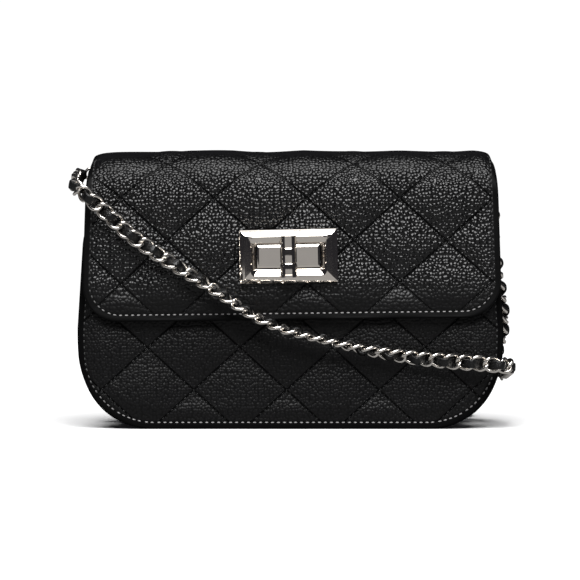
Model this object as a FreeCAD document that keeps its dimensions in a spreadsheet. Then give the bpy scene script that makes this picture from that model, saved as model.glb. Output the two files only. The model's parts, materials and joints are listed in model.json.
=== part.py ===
import FreeCAD, Part
import math
import os
import Sketcher
from FreeCAD import Placement, Rotation, Vector

# Crossbody purse: a small quilted leather bag with a flap, a turn lock and a chain strap.
# Frame: +X to the right as seen from the front, the front faces -Y, +Z up. Millimetres.
# The origin is at the middle of the footprint, on the surface that the bag stands on.

DOC = FreeCAD.newDocument("CrossbodyPurse")
SHEET = DOC.addObject("Spreadsheet::Sheet", "Sizes")
SIZES = {}
NODES = []


def cell(alias, value):
    """Put one named number on the sheet."""
    row = len(SIZES) + 1
    SHEET.set(f"A{row}", alias)
    SHEET.set(f"B{row}", repr(float(value)))
    SHEET.setAlias(f"B{row}", alias)
    SIZES[alias] = float(value)


# ---------------------------------------------------------------- driving sizes
cell("zero", 0.0)
cell("leather", 1.2)
cell("padding", 2.2)
cell("board", 0.7)
cell("lining", 0.4)
cell("bag_depth", 54.0)  # front of the flap to the back of the bag
cell("lock_stands_out", 8.8)  # from the flap's face to the front of the turn bar
cell("flap_gap", 1.6)  # between the flap and the front panel
cell("half_width", 104.9)  # of the panels, where the bottom corners end
cell("side_slope", 0.062)  # how far each side leans in, per unit of height
cell("corner", 38.0)  # radius of the bottom corners
cell("top_corner", 6.0)
cell("front_top", 122.0)  # height of the front panel and of the gusset
cell("back_top", 134.0)
cell("rim", 4.0)  # how far the panels' edges stand out from the gusset
cell("flap_top", 140.0)
cell("flap_low", 55.0)
cell("flap_half_low", 104.6)
cell("flap_half_top", 101.8)
cell("flap_corner", 19.0)
cell("flap_bend", 20.0)  # outer radius where the flap turns down
cell("flap_start", 0.5)  # from the hinge line to the flap's edge
cell("lock_x", -1.0)
cell("lock_z", 87.0)
cell("lock_tilt", 1.2)  # degrees that the lock leans on the soft flap
cell("frame_long", 49.0)
cell("frame_tall", 26.6)
cell("frame_deep", 4.5)
cell("frame_bevel", 2.9)
cell("frame_cove", 3.2)
cell("mouth_long", 32.6)
cell("mouth_tall", 12.4)
cell("mouth_corner", 1.6)
cell("pads_long", 31.4)
cell("pads_tall", 11.4)
cell("pads_deep", 2.8)
cell("pad_bevel", 0.45)
cell("bar_long", 20.8)
cell("bar_wide", 8.2)
cell("bar_lift", 0.3)  # between the turn bar and the frame
cell("stem_radius", 1.9)
cell("stem_bore", 1.98)
cell("lug_long", 12.0)
cell("lug_wide", 4.0)
cell("lug_thick", 1.6)
cell("collar_radius", 2.5)
cell("collar_gap", 0.4)  # from the flap's lining to the lug's collar
cell("lug_pin", 1.5)  # radius of the stem's end, which the lug is riveted on
cell("lug_depth", 8.3)  # from the flap's face to the lug's back
cell("washer_radius", 4.0)
cell("washer_thick", 0.3)
cell("plate_long", 44.0)
cell("plate_tall", 22.6)
cell("plate_corner", 2.0)
cell("plate_gap", 0.7)  # round the backplate, which leans with the lock
cell("keeper_long", 34.0)
cell("keeper_wide", 22.0)
cell("keeper_corner", 5.0)
cell("keeper_thick", 0.8)
cell("rivet_head", 0.4)
cell("rivet_head_radius", 2.0)
cell("slot_wide", 5.6)
cell("slot_below", 6.9)  # from the lock's axis down to the slot's end
cell("slot_above", 10.6)
cell("room_corner", 3.0)
cell("room_half", 7.3)  # half width of the window that the lug turns in
cell("room_below", 7.5)
cell("room_above", 12.0)
cell("rivet_radius", 1.2)
cell("stem_hole", 2.2)
cell("screw_grip", 2.5)  # how deep the screws go into the frame
cell("foot_lip", 0.5)
cell("foot_tall", 1.3)
cell("groove_high", 4.4)
cell("groove_low", -3.2)
cell("groove_radius", 0.45)
cell("screw_radius", 0.9)
cell("ring_wire", 1.0)
cell("ring_play", 0.25)  # between a ring and what it hangs in
cell("ring_half", 7.0)
cell("ring_tall", 10.0)
cell("ring_corner", 2.0)
cell("tab_wide", 9.0)
cell("tab_long", 8.5)
cell("tab_gap", 0.15)
cell("tab_height", 117.0)
cell("link_ring", 2.9)
cell("link_wire", 0.7)
cell("strap_radius", 4.3)
cell("hank_straight", 90.0)
cell("hank_fold", 34.6)
cell("hank_deep", 9.2)
cell("tie_wide", 7.0)
cell("tie_thick", 0.6)

S = SIZES
# worked out from the sizes above
cell("back_face", (S["bag_depth"] + S["lock_stands_out"]) / 2)
cell("flap_face", S["back_face"] - S["bag_depth"])
cell("flap_thick", S["leather"] + S["padding"] + S["board"] + S["lining"])
cell("front_face", S["flap_face"] + S["flap_thick"] + S["flap_gap"])
cell("rim_and_leather", S["rim"] + S["leather"])
cell("rim_and_board", S["rim_and_leather"] + S["board"])
cell("rim_and_lining", S["rim_and_board"] + S["lining"])
cell("mid_depth", (S["front_face"] + S["back_face"]) / 2)
cell("flap_width", 2 * S["flap_half_low"])
cell("gusset_depth", S["back_face"] - S["front_face"] - 2 * S["leather"])
cell("inside_depth", S["back_face"] - S["front_face"] - 2 * S["flap_thick"])
cell("under_leather", S["leather"])
cell("under_padding", S["under_leather"] + S["padding"])
cell("under_board", S["under_padding"] + S["board"])
cell("surround_wide", 2 * S["flap_half_low"] + 20)
cell("surround_tall", S["flap_top"] - S["flap_low"] + 20)
cell("surround_z", (S["flap_top"] + S["flap_low"]) / 2)
cell("room_wide", 2 * S["room_half"])
cell("room_tall", S["room_below"] + S["room_above"])
cell("room_z", S["lock_z"] + (S["room_above"] - S["room_below"]) / 2)
cell("slot_tall", S["slot_below"] + S["slot_above"])
cell("slot_corner", S["slot_wide"] / 2 - 0.05)
cell("keeper_z", S["lock_z"] + 1.8)
cell("rivet_low", S["keeper_z"] - 13.4)
cell("rivet_high", S["keeper_z"] + 13.4)
cell("hank_corner", S["hank_fold"] + S["strap_radius"] - 0.1)
cell("hank_wide", 2 * (S["hank_fold"] + S["strap_radius"]))
cell("hank_long", S["hank_straight"] + S["hank_wide"])
cell("hank_y", 83.0)
cell("backing_room_wide", S["keeper_wide"] + 0.4)
cell("backing_room_tall", S["keeper_long"] + 0.4)
cell("slot_z", S["lock_z"] + (S["slot_above"] - S["slot_below"]) / 2)
cell("plate_room_long", S["plate_long"] + 2 * S["plate_gap"])
cell("plate_room_tall", S["plate_tall"] + 2 * S["plate_gap"])


def at(alias):
    """The expression that reads a cell."""
    return f"Sizes.{alias}"


# ---------------------------------------------------------------- helpers
def body(label, kept=True):
    """A new PartDesign body. It is a node unless something is still cut from it."""
    made = DOC.addObject("PartDesign::Body", label if kept else f"{label}_blank")
    made.Label = made.Name
    if kept:
        NODES.append(made)
    return made


def sketch(owner, role, offset=None):
    """A sketch on one of the body's own origin planes, moved along its normal by an expression."""
    plane = next(f for f in owner.Origin.OriginFeatures if f.Role == role)
    made = owner.newObject("Sketcher::SketchObject", f"{owner.Label}_sketch")
    made.AttachmentSupport = [(plane, "")]
    made.MapMode = "FlatFace"
    if offset:
        made.setExpression("AttachmentOffset.Base.z", offset)
    return made


def bound(drawing, constraint, name, expression):
    """Add a constraint whose value is read from the sheet."""
    index = drawing.addConstraint(constraint)
    drawing.renameConstraint(index, name)
    drawing.setExpression(f"Constraints.{name}", expression)


def chain(drawing, edges):
    """Join edges end to start in a ring: tangent at an arc, coincident between two lines."""
    kinds = [drawing.Geometry[edge].TypeId for edge in edges]
    for n, edge in enumerate(edges):
        after = (n + 1) % len(edges)
        lines = kinds[n] == kinds[after] == "Part::GeomLineSegment"
        drawing.addConstraint(
            Sketcher.Constraint("Coincident" if lines else "Tangent", edge, 2, edges[after], 1)
        )


def line(ax, az, bx, bz):
    return Part.LineSegment(Vector(ax, az, 0), Vector(bx, bz, 0))


def corner_arc(x, z, radius, start):
    """A quarter turn about (x, z), anticlockwise from an angle in degrees."""
    circle = Part.Circle(Vector(x, z, 0), Vector(0, 0, 1), radius)
    return Part.ArcOfCircle(circle, math.radians(start), math.radians(start + 90))


def ring(drawing, low, high, corners, halves, middle=0.0):
    """A closed ring, anticlockwise: a flat bottom and top, two sides and four round corners. low and
    high are heights, corners the radii (bottom, top) and halves the half widths where the bottom and
    the top corners end."""
    radius, top_radius = corners
    low_half, high_half = halves
    a, b = low_half - radius, high_half - top_radius
    left, right = middle - low_half, middle + low_half
    edges = drawing.addGeometry(
        [
            line(middle - a, low, middle + a, low),
            corner_arc(middle + a, low + radius, radius, -90),
            line(right, low + radius, middle + high_half, high - top_radius),
            corner_arc(middle + b, high - top_radius, top_radius, 0),
            line(middle + b, high, middle - b, high),
            corner_arc(middle - b, high - top_radius, top_radius, 90),
            line(middle - high_half, high - top_radius, left, low + radius),
            corner_arc(middle - a, low + radius, radius, 180),
        ]
    )
    chain(drawing, edges)
    return edges


def bind_all(drawing, sizes):
    """Add constraints, each read from the sheet: (kind, places, value, name, expression)."""
    for kind, places, value, name, expression in sizes:
        bound(drawing, Sketcher.Constraint(kind, *places, value), name, expression)


def rounded_rectangle(drawing, long, tall, corner, centre_x="zero", centre_z="zero"):
    """A rectangle with round corners, from cells: its two sizes, its radius and its middle."""
    x, z, r = S[centre_x], S[centre_z], S[corner]
    a, b = S[long] / 2, S[tall] / 2
    e = ring(drawing, z - b, z + b, (r, r), (a, a), x)
    for edge, kind in ((e[0], "Horizontal"), (e[2], "Vertical"), (e[4], "Horizontal"), (e[6], "Vertical")):
        drawing.addConstraint(Sketcher.Constraint(kind, edge))
    sizes = [("Radius", (e[n],), r, f"radius_{n}", at(corner)) for n in (1, 3, 5, 7)]
    sizes += [
        ("DistanceX", (-1, 1, e[6], 1), x - a, "left", f"{at(centre_x)} - {at(long)} / 2"),
        ("DistanceX", (-1, 1, e[2], 1), x + a, "right", f"{at(centre_x)} + {at(long)} / 2"),
        ("DistanceY", (-1, 1, e[0], 1), z - b, "low", f"{at(centre_z)} - {at(tall)} / 2"),
        ("DistanceY", (-1, 1, e[4], 1), z + b, "high", f"{at(centre_z)} + {at(tall)} / 2"),
    ]
    bind_all(drawing, sizes)


def rectangle(drawing, long, tall, centre_z="zero"):
    """A sharp rectangle of two cells' sizes, centred on the Z axis."""
    z, a, b = S[centre_z], S[long] / 2, S[tall] / 2
    corners = [(-a, z - b), (a, z - b), (a, z + b), (-a, z + b)]
    sides = drawing.addGeometry([line(*p, *q) for p, q in zip(corners, corners[1:] + corners[:1])])
    chain(drawing, sides)
    for edge, kind in zip(sides, ("Horizontal", "Vertical", "Horizontal", "Vertical")):
        drawing.addConstraint(Sketcher.Constraint(kind, edge))
    sizes = [
        ("DistanceX", (sides[0], 1, sides[0], 2), 2 * a, "long", at(long)),
        ("DistanceY", (sides[1], 1, sides[1], 2), 2 * b, "tall", at(tall)),
        ("DistanceX", (-1, 1, sides[0], 1), -a, "rect_left", f"-{at(long)} / 2"),
        ("DistanceY", (-1, 1, sides[0], 1), z - b, "rect_low", f"{at(centre_z)} - {at(tall)} / 2"),
    ]
    bind_all(drawing, sizes)


def leaning_ring(drawing, places, corners, halves):
    """A ring that is symmetric about the Z axis. Each of places, corners and halves holds two pairs
    of a value and its expression: (bottom, top)."""
    (low, low_is), (high, high_is) = places
    (radius, radius_is), (top_radius, top_radius_is) = corners
    (low_half, low_half_is), (high_half, high_half_is) = halves
    e = ring(drawing, low, high, (radius, top_radius), (low_half, high_half))
    drawing.addConstraint(Sketcher.Constraint("Symmetric", e[0], 1, e[0], 2, -2))
    drawing.addConstraint(Sketcher.Constraint("Symmetric", e[4], 1, e[4], 2, -2))
    sizes = [
        ("Radius", (e[1],), radius, "corner_right", radius_is),
        ("Radius", (e[7],), radius, "corner_left", radius_is),
        ("Radius", (e[3],), top_radius, "top_right", top_radius_is),
        ("Radius", (e[5],), top_radius, "top_left", top_radius_is),
        ("DistanceX", (-1, 1, e[2], 1), low_half, "low_half", low_half_is),
        ("DistanceX", (-1, 1, e[2], 2), high_half, "high_half", high_half_is),
        ("DistanceY", (-1, 1, e[0], 1), low, "bottom", low_is),
        ("DistanceY", (-1, 1, e[4], 1), high, "top", high_is),
    ]
    bind_all(drawing, sizes)


def outline(drawing, inset, top, over=0.0):
    """The bag's front outline, moved in by a cell's value: a flat bottom, large bottom corners and
    sides that lean in. over lifts the top, for an outline that cuts."""
    high = S[top] + over
    rise = high - S["top_corner"] - S["corner"]
    rise_is = f"({at(top)} + {over} - {at('top_corner')} - {at('corner')})"
    half, half_is = S["half_width"] - S[inset], f"{at('half_width')} - {at(inset)}"
    leaning_ring(
        drawing,
        ((S[inset], at(inset)), (high, f"{at(top)} + {over}")),
        ((S["corner"] - S[inset], f"{at('corner')} - {at(inset)}"), (S["top_corner"], at("top_corner"))),
        ((half, half_is), (half - S["side_slope"] * rise, f"{half_is} - {at('side_slope')} * {rise_is}")),
    )


def pad(owner, drawing, length, backwards=True, midplane=False):
    """Pad a sketch. On the XZ plane, backwards means towards the bag's back."""
    made = owner.newObject("PartDesign::Pad", f"{owner.Label}_pad")
    made.Profile = drawing
    made.Reversed = backwards
    if midplane:
        made.SideType = "Symmetric"
    made.setExpression("Length", length)
    return made


def pocket_through(owner, drawing):
    """Cut a sketch right through the body, both ways."""
    before = owner.Tip
    DOC.recompute()
    volume = before.Shape.Volume
    made = owner.newObject("PartDesign::Pocket", f"{owner.Label}_pocket")
    made.Profile = drawing
    made.SideType = "Two sides"
    made.Type = "ThroughAll"
    made.Type2 = "ThroughAll"
    DOC.recompute()
    if not made.Shape.Volume < volume - 0.01:
        raise RuntimeError(f"{owner.Label}: the pocket cut nothing")
    return made


def y_plane(expression):
    """The sketch offset that puts an XZ sketch at a place along Y. Its normal is -Y."""
    return f"-({expression})"


def edges_at_y(shape, y):
    """The names of a shape's edges that lie in one plane across Y."""
    return [
        f"Edge{n}"
        for n, edge in enumerate(shape.Edges, 1)
        if abs(edge.BoundBox.YMin - y) < 1e-4 and abs(edge.BoundBox.YMax - y) < 1e-4
    ]


def bevel(owner, edges, size):
    """Chamfer edges of the body's last feature."""
    base = owner.Tip
    made = owner.newObject("PartDesign::Chamfer", f"{owner.Label}_bevel")
    made.Base = (base, edges)
    made.setExpression("Size", size)
    DOC.recompute()
    return made


def rod(name, radius, length, x, y, z):
    """A round bar that runs from a point along +Y. All its sizes are expressions."""
    made = DOC.addObject("Part::Cylinder", name)
    made.Placement = Placement(Vector(0, 0, 0), Rotation(Vector(1, 0, 0), -90))
    made.setExpression("Radius", radius)
    made.setExpression("Height", length)
    for axis, value in (("x", x), ("y", y), ("z", z)):
        made.setExpression(f"Placement.Base.{axis}", value)
    return made


def drilled(solid, drills, label):
    """A node: a solid with rods cut out of it."""
    made = DOC.addObject("Part::Cut", label)
    made.Base = solid
    made.Tool = drills[0] if len(drills) == 1 else joined(drills, f"{label}_drills")
    made.Label = label
    return made


def joined(parts, name):
    made = DOC.addObject("Part::MultiFuse", name)
    made.Shapes = parts
    return made


def node(made, label):
    """Keep a boolean or a feature as a node."""
    made.Label = label
    NODES.append(made)
    return made


# ---------------------------------------------------------------- bag body
def front_plane(layers):
    return at("front_face") + "".join(f" + {at(name)}" for name in layers)


def back_plane(layers):
    return at("back_face") + "".join(f" - {at(name)}" for name in layers)


def panel(label, place, thickness, inset, top, kept=True):
    """One flat layer of the front or back panel."""
    made = body(label, kept)
    drawing = sketch(made, "XZ_Plane", y_plane(place))
    outline(drawing, inset, top)
    pad(made, drawing, at(thickness))
    return made


def window(owner, long, tall, corner, centre_x, centre_z):
    """A window with round corners, cut right through."""
    drawing = sketch(owner, "XZ_Plane")
    rounded_rectangle(drawing, long, tall, corner, centre_x, centre_z)
    pocket_through(owner, drawing)


def front_panel():
    """Leather, padding, board and lining. The first two have the room that the lock's lug turns in,
    and the board has the room for the keeper's backing plate."""
    room = ("room_wide", "room_tall", "room_corner", "lock_x", "room_z")
    backing_room = ("backing_room_wide", "backing_room_tall", "keeper_corner", "lock_x", "keeper_z")
    layers = ["leather", "padding", "board", "lining"]
    rooms = [room, room, backing_room, None]
    names = ["front_panel_outer", "front_padding", "front_board", "front_lining"]
    for n, (label, layer) in enumerate(zip(names, layers)):
        inset = "rim_and_leather" if n else "zero"
        riveted = n < 2
        made = panel(label, front_plane(layers[:n]), layer, inset, "front_top", kept=not riveted)
        if rooms[n]:
            window(made, *rooms[n])
        if riveted:
            holes = rivet_rods(f"{label}_hole", at("rivet_radius"), f"{at('front_face')} - 5", "20")
            node(drilled(made, holes, label), label)


def back_panel():
    layers = ["leather", "padding", "board", "lining"]
    names = ["back_panel_outer", "back_padding", "back_board", "back_lining"]
    for n, (label, layer) in enumerate(zip(names, layers)):
        inset = "rim_and_leather" if n else "zero"
        panel(label, back_plane(layers[: n + 1]), layer, inset, "back_top")


def gusset_outer():
    """The strip round the sides and bottom. Its two edges turn out and are sewn to the panels."""
    made = body("gusset_outer")
    strip = sketch(made, "XZ_Plane", y_plane(front_plane(["leather"])))
    outline(strip, "rim", "front_top")
    pad(made, strip, at("gusset_depth"))
    for place in (front_plane(["leather"]), back_plane(["leather", "leather"])):
        flange = sketch(made, "XZ_Plane", y_plane(place))
        outline(flange, "zero", "front_top")
        pad(made, flange, at("leather"))
    inner = sketch(made, "XZ_Plane")
    outline(inner, "rim_and_leather", "front_top", over=15)
    pocket_through(made, inner)


def gusset_layer(label, outer, inner):
    """A layer inside the gusset, from the front lining to the back lining."""
    made = body(label)
    strip = sketch(made, "XZ_Plane", y_plane(front_plane(["leather", "padding", "board", "lining"])))
    outline(strip, outer, "front_top")
    pad(made, strip, at("inside_depth"))
    hollow = sketch(made, "XZ_Plane")
    outline(hollow, inner, "front_top", over=15)
    pocket_through(made, hollow)


# ---------------------------------------------------------------- flap
def flap_profile(drawing, outer, inner):
    """The flap's bent section between two depths below its face: (Y, Z) across the sheet."""
    z, y, low, back = S["flap_top"], S["flap_face"], S["flap_low"], S["back_face"] - S["flap_start"]
    o, i, bend = S[outer], S[inner], S["flap_bend"]
    e = drawing.addGeometry(
        [
            line(back, z - o, y + bend, z - o),
            corner_arc(y + bend, z - bend, bend - o, 90),
            line(y + o, z - bend, y + o, low),
            line(y + o, low, y + i, low),
            line(y + i, low, y + i, z - bend),
            corner_arc(y + bend, z - bend, bend - i, 90),
            line(y + bend, z - i, back, z - i),
            line(back, z - i, back, z - o),
        ]
    )
    for first, first_end, second, second_end in (
        (e[0], 2, e[1], 1),
        (e[1], 2, e[2], 1),
        (e[4], 2, e[5], 2),
        (e[5], 1, e[6], 1),
    ):
        drawing.addConstraint(Sketcher.Constraint("Tangent", first, first_end, second, second_end))
    for first, second in ((e[2], e[3]), (e[3], e[4]), (e[6], e[7]), (e[7], e[0])):
        drawing.addConstraint(Sketcher.Constraint("Coincident", first, 2, second, 1))
    for edge in (e[3], e[6]):
        drawing.addConstraint(Sketcher.Constraint("Horizontal", edge))
    drawing.addConstraint(Sketcher.Constraint("Horizontal", e[0]))
    for edge in (e[2], e[4], e[7]):
        drawing.addConstraint(Sketcher.Constraint("Vertical", edge))
    sizes = [
        ("Radius", (e[1],), bend - o, "outer_bend", f"{at('flap_bend')} - {at(outer)}"),
        ("Radius", (e[5],), bend - i, "inner_bend", f"{at('flap_bend')} - {at(inner)}"),
        ("DistanceX", (-1, 1, e[2], 1), y + o, "outer_face", f"{at('flap_face')} + {at(outer)}"),
        ("DistanceX", (-1, 1, e[4], 1), y + i, "inner_face", f"{at('flap_face')} + {at(inner)}"),
        ("DistanceX", (-1, 1, e[7], 1), back, "back", f"{at('back_face')} - {at('flap_start')}"),
        ("DistanceY", (-1, 1, e[0], 1), z - o, "outer_top", f"{at('flap_top')} - {at(outer)}"),
        ("DistanceY", (-1, 1, e[6], 1), z - i, "inner_top", f"{at('flap_top')} - {at(inner)}"),
        ("DistanceY", (-1, 1, e[3], 1), low, "low", at("flap_low")),
    ]
    bind_all(drawing, sizes)


def flap_surround(drawing):
    """Everything outside the flap's front outline, which is cut away."""
    rectangle(drawing, "surround_wide", "surround_tall", "surround_z")

    def pair(alias):
        return S[alias], at(alias)

    leaning_ring(
        drawing,
        (pair("flap_low"), pair("flap_top")),
        (pair("flap_corner"), pair("top_corner")),
        (pair("flap_half_low"), pair("flap_half_top")),
    )


def flap_blank(label, outer, inner, plate_room):
    """One layer of the flap, before the lock's holes. plate_room cuts the backplate's window."""
    made = body(label, kept=False)
    section = sketch(made, "YZ_Plane")
    flap_profile(section, outer, inner)
    pad(made, section, at("flap_width"), backwards=False, midplane=True)
    surround = sketch(made, "XZ_Plane")
    flap_surround(surround)
    pocket_through(made, surround)
    if not plate_room:
        return made
    window(made, "plate_room_long", "plate_room_tall", "plate_corner", "lock_x", "lock_z")
    return made


# ---------------------------------------------------------------- turn lock
def lock_spot(x=0.0, z=0.0):
    """Expressions for a place on the flap, from the lock's middle and along its own lean."""
    lean = math.radians(S["lock_tilt"])
    dx = x * math.cos(lean) - z * math.sin(lean)
    dz = x * math.sin(lean) + z * math.cos(lean)
    return f"{at('lock_x')} + {dx:.6f}", f"{at('lock_z')} + {dz:.6f}"


def lean_on_flap(made):
    """Turn a lock piece, drawn about the origin, to its place on the flap."""
    made.setExpression("Placement.Base.x", at("lock_x"))
    made.setExpression("Placement.Base.z", at("lock_z"))
    made.setExpression("Placement.Rotation.Angle", at("lock_tilt"))
    middle = Vector(S["lock_x"], 0, S["lock_z"])
    made.Placement = Placement(middle, Rotation(Vector(0, -1, 0), S["lock_tilt"]))


SCREW_SPOTS = [(x, z) for x in (-20.6, 20.6) for z in (-9.0, 9.0)]


def stem_rod(name, radius):
    """A rod through the whole flap and lock on the lock's axis, for cutting."""
    return rod(name, at(radius), "40", at("lock_x"), f"{at('flap_face')} - 20", at("lock_z"))


def screw_rods(name, radius, start, length):
    rods = []
    for n, (x, z) in enumerate(SCREW_SPOTS):
        px, pz = lock_spot(x, z)
        rods.append(rod(f"{name}_{n}", radius, length, px, start, pz))
    return rods


def screw_start():
    """The screws' ends lie this deep in the frame."""
    return f"{at('flap_face')} - {at('screw_grip')}"


def flap():
    depths = ["zero", "under_leather", "under_padding", "under_board", "flap_thick"]
    for n, label in enumerate(["flap_outer", "flap_padding", "flap_board", "flap_lining"]):
        blank = flap_blank(label, depths[n], depths[n + 1], plate_room=n > 1)
        drills = [stem_rod(f"{label}_stem", "stem_hole")]
        if n < 2:
            drills += screw_rods(f"{label}_screw", at("screw_radius"), screw_start(), "20")
        node(drilled(blank, drills, label), label)


def lock_frame():
    """The bevelled frame: a rectangle with a chamfered outside and a coved mouth."""
    made = body("lock_frame", kept=False)
    drawing = sketch(made, "XZ_Plane", y_plane(at("flap_face")))
    rectangle(drawing, "frame_long", "frame_tall")
    pad(made, drawing, at("frame_deep"), backwards=False)
    DOC.recompute()
    front = S["flap_face"] - S["frame_deep"]
    bevel(made, edges_at_y(made.Tip.Shape, front), at("frame_bevel"))
    mouth = sketch(made, "XZ_Plane")
    rounded_rectangle(mouth, "mouth_long", "mouth_tall", "mouth_corner")
    pocket_through(made, mouth)
    inner = [
        name
        for name in edges_at_y(made.Tip.Shape, front)
        if abs(made.Tip.Shape.getElement(name).CenterOfMass.x) < S["mouth_long"] / 2 + 0.1
        and abs(made.Tip.Shape.getElement(name).CenterOfMass.z) < S["mouth_tall"] / 2 + 0.1
    ]
    bevel(made, inner, at("frame_cove"))
    lean_on_flap(made)
    screws = screw_rods("frame_screw", at("screw_radius"), screw_start(), at("screw_grip") + " + 1")
    node(drilled(made, screws, "lock_frame"), "lock_frame")


def lock_pads():
    """The flat plate that fills the frame's mouth, with a fine bevel."""
    made = body("lock_pad_plate", kept=False)
    drawing = sketch(made, "XZ_Plane", y_plane(at("flap_face")))
    rectangle(drawing, "pads_long", "pads_tall")
    pad(made, drawing, at("pads_deep"), backwards=False)
    DOC.recompute()
    bevel(made, edges_at_y(made.Tip.Shape, S["flap_face"] - S["pads_deep"]), at("pad_bevel"))
    lean_on_flap(made)
    node(drilled(made, [stem_rod("pad_bore", "stem_bore")], "lock_pad_plate"), "lock_pad_plate")


def lock_backplate():
    """The plate in the flap's board and lining that the screws pull on. It guides the stem."""
    made = body("lock_backplate", kept=False)
    drawing = sketch(made, "XZ_Plane", y_plane(f"{at('flap_face')} + {at('under_padding')}"))
    rounded_rectangle(drawing, "plate_long", "plate_tall", "plate_corner")
    pad(made, drawing, f"{at('board')} + {at('lining')}")
    lean_on_flap(made)
    drills = [stem_rod("plate_bore", "stem_bore")]
    drills += screw_rods("plate_screw", at("screw_radius"), screw_start(), "20")
    node(drilled(made, drills, "lock_backplate"), "lock_backplate")


def lock_screws():
    length = f"{at('screw_grip')} + {at('flap_thick')}"
    screws = screw_rods("screw", at("screw_radius"), screw_start(), length)
    node(joined(screws, "lock_screws"), "lock_screws")


def lock_washer():
    """The thin spring washer that gives the turn bar its drag."""
    back = f"{at('flap_face')} + {at('flap_thick')}"
    disc = rod("washer_disc", at("washer_radius"), at("washer_thick"), at("lock_x"), back, at("lock_z"))
    node(drilled(disc, [stem_rod("washer_bore", "stem_bore")], "lock_washer"), "lock_washer")


def lock_turn_bar():
    """The upright bar with its ring grooves and foot, and the stem that goes through the flap."""
    front = f"{at('flap_face')} - {at('lock_stands_out')}"
    barrel = DOC.addObject("Part::Cylinder", "barrel")
    barrel.setExpression("Radius", f"{at('bar_wide')} / 2")
    barrel.setExpression("Height", at("bar_long"))
    barrel.setExpression("Placement.Base.y", f"{front} + {at('bar_wide')} / 2")
    barrel.setExpression("Placement.Base.z", f"-{at('bar_long')} / 2")
    foot = DOC.addObject("Part::Box", "bar_foot")
    foot.setExpression("Length", f"{at('bar_wide')} + {at('foot_lip')}")
    foot.setExpression("Width", f"{at('bar_wide')} / 2")
    foot.setExpression("Height", at("foot_tall"))
    foot.setExpression("Placement.Base.x", f"-({at('bar_wide')} + {at('foot_lip')}) / 2")
    foot.setExpression("Placement.Base.y", f"{front} + {at('foot_lip')}")
    foot.setExpression("Placement.Base.z", f"-{at('bar_long')} / 2")
    solid = joined([barrel, foot], "bar_solid")
    grooves = []
    for n, height in enumerate(("groove_high", "groove_low")):
        ring = DOC.addObject("Part::Torus", f"bar_groove_{n}")
        ring.setExpression("Radius1", f"{at('bar_wide')} / 2 + 0.1")
        ring.setExpression("Radius2", at("groove_radius"))
        ring.setExpression("Placement.Base.y", f"{front} + {at('bar_wide')} / 2")
        ring.setExpression("Placement.Base.z", at(height))
        grooves.append(ring)
    behind = DOC.addObject("Part::Box", "bar_back")
    behind.setExpression("Length", "30")
    behind.setExpression("Width", "20")
    behind.setExpression("Height", "40")
    behind.setExpression("Placement.Base.x", "-15")
    behind.setExpression("Placement.Base.y", f"{at('flap_face')} - {at('frame_deep')} - {at('bar_lift')}")
    behind.setExpression("Placement.Base.z", "-20")
    shaped = drilled(solid, grooves + [behind], "bar_shaped")
    lean_on_flap(shaped)
    start = f"{at('flap_face')} - {at('frame_deep')} - {at('bar_lift')} - 1"
    collar = f"{at('flap_thick')} + {at('collar_gap')}"
    stem = rod("bar_stem", at("stem_radius"), f"{at('frame_deep')} + {at('bar_lift')} + 1 + {collar}",
               at("lock_x"), start, at("lock_z"))
    pin = rod("bar_pin", at("lug_pin"), f"{at('lug_depth')} + {at('frame_deep')}",
              at("lock_x"), f"{at('flap_face')} - {at('frame_deep')}", at("lock_z"))
    node(joined([shaped, stem, pin], "lock_turn_bar"), "lock_turn_bar")


def lock_lug():
    """The T-shaped lug riveted on the stem: a collar and a flat head that turns behind the keeper."""
    start = f"{at('flap_face')} + {at('flap_thick')} + {at('collar_gap')}"
    head_back = f"{at('flap_face')} + {at('lug_depth')}"
    collar = rod("lug_collar", at("collar_radius"), f"{head_back} - ({start})",
                 at("lock_x"), start, at("lock_z"))
    head = DOC.addObject("Part::Box", "lug_head")
    head.setExpression("Length", at("lug_wide"))
    head.setExpression("Width", at("lug_thick"))
    head.setExpression("Height", at("lug_long"))
    head.setExpression("Placement.Base.x", f"{at('lock_x')} - {at('lug_wide')} / 2")
    head.setExpression("Placement.Base.y", f"{head_back} - {at('lug_thick')}")
    head.setExpression("Placement.Base.z", f"{at('lock_z')} - {at('lug_long')} / 2")
    solid = joined([collar, head], "lug_solid")
    node(drilled(solid, [stem_rod("lug_bore", "lug_pin")], "lock_lug"), "lock_lug")


# ---------------------------------------------------------------- keeper on the front panel
def rivet_rods(name, radius, start, length):
    return [
        rod(f"{name}_{spot}", radius, length, at("lock_x"), start, at(spot))
        for spot in ("rivet_low", "rivet_high")
    ]


def keeper_plate():
    """The plate with the tall slot that the lug goes into. The slot leaves room for the flap's arc."""
    made = body("keeper_plate", kept=False)
    drawing = sketch(made, "XZ_Plane", y_plane(f"{at('front_face')} - {at('keeper_thick')}"))
    rounded_rectangle(drawing, "keeper_wide", "keeper_long", "keeper_corner", "lock_x", "keeper_z")
    pad(made, drawing, at("keeper_thick"))
    slot = sketch(made, "XZ_Plane")
    rounded_rectangle(slot, "slot_wide", "slot_tall", "slot_corner", "lock_x", "slot_z")
    pocket_through(made, slot)
    rivets = rivet_rods("keeper_hole", at("rivet_radius"), f"{at('front_face')} - 5", "10")
    node(drilled(made, rivets, "keeper_plate"), "keeper_plate")


def keeper_backing():
    """The closed plate behind the lug's room, in the front panel's board."""
    made = body("keeper_backing", kept=False)
    drawing = sketch(made, "XZ_Plane", y_plane(front_plane(["leather", "padding"])))
    rounded_rectangle(drawing, "keeper_wide", "keeper_long", "keeper_corner", "lock_x", "keeper_z")
    pad(made, drawing, at("board"))
    rivets = rivet_rods("backing_hole", at("rivet_radius"), f"{at('front_face')} - 5", "15")
    node(drilled(made, rivets, "keeper_backing"), "keeper_backing")


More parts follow.
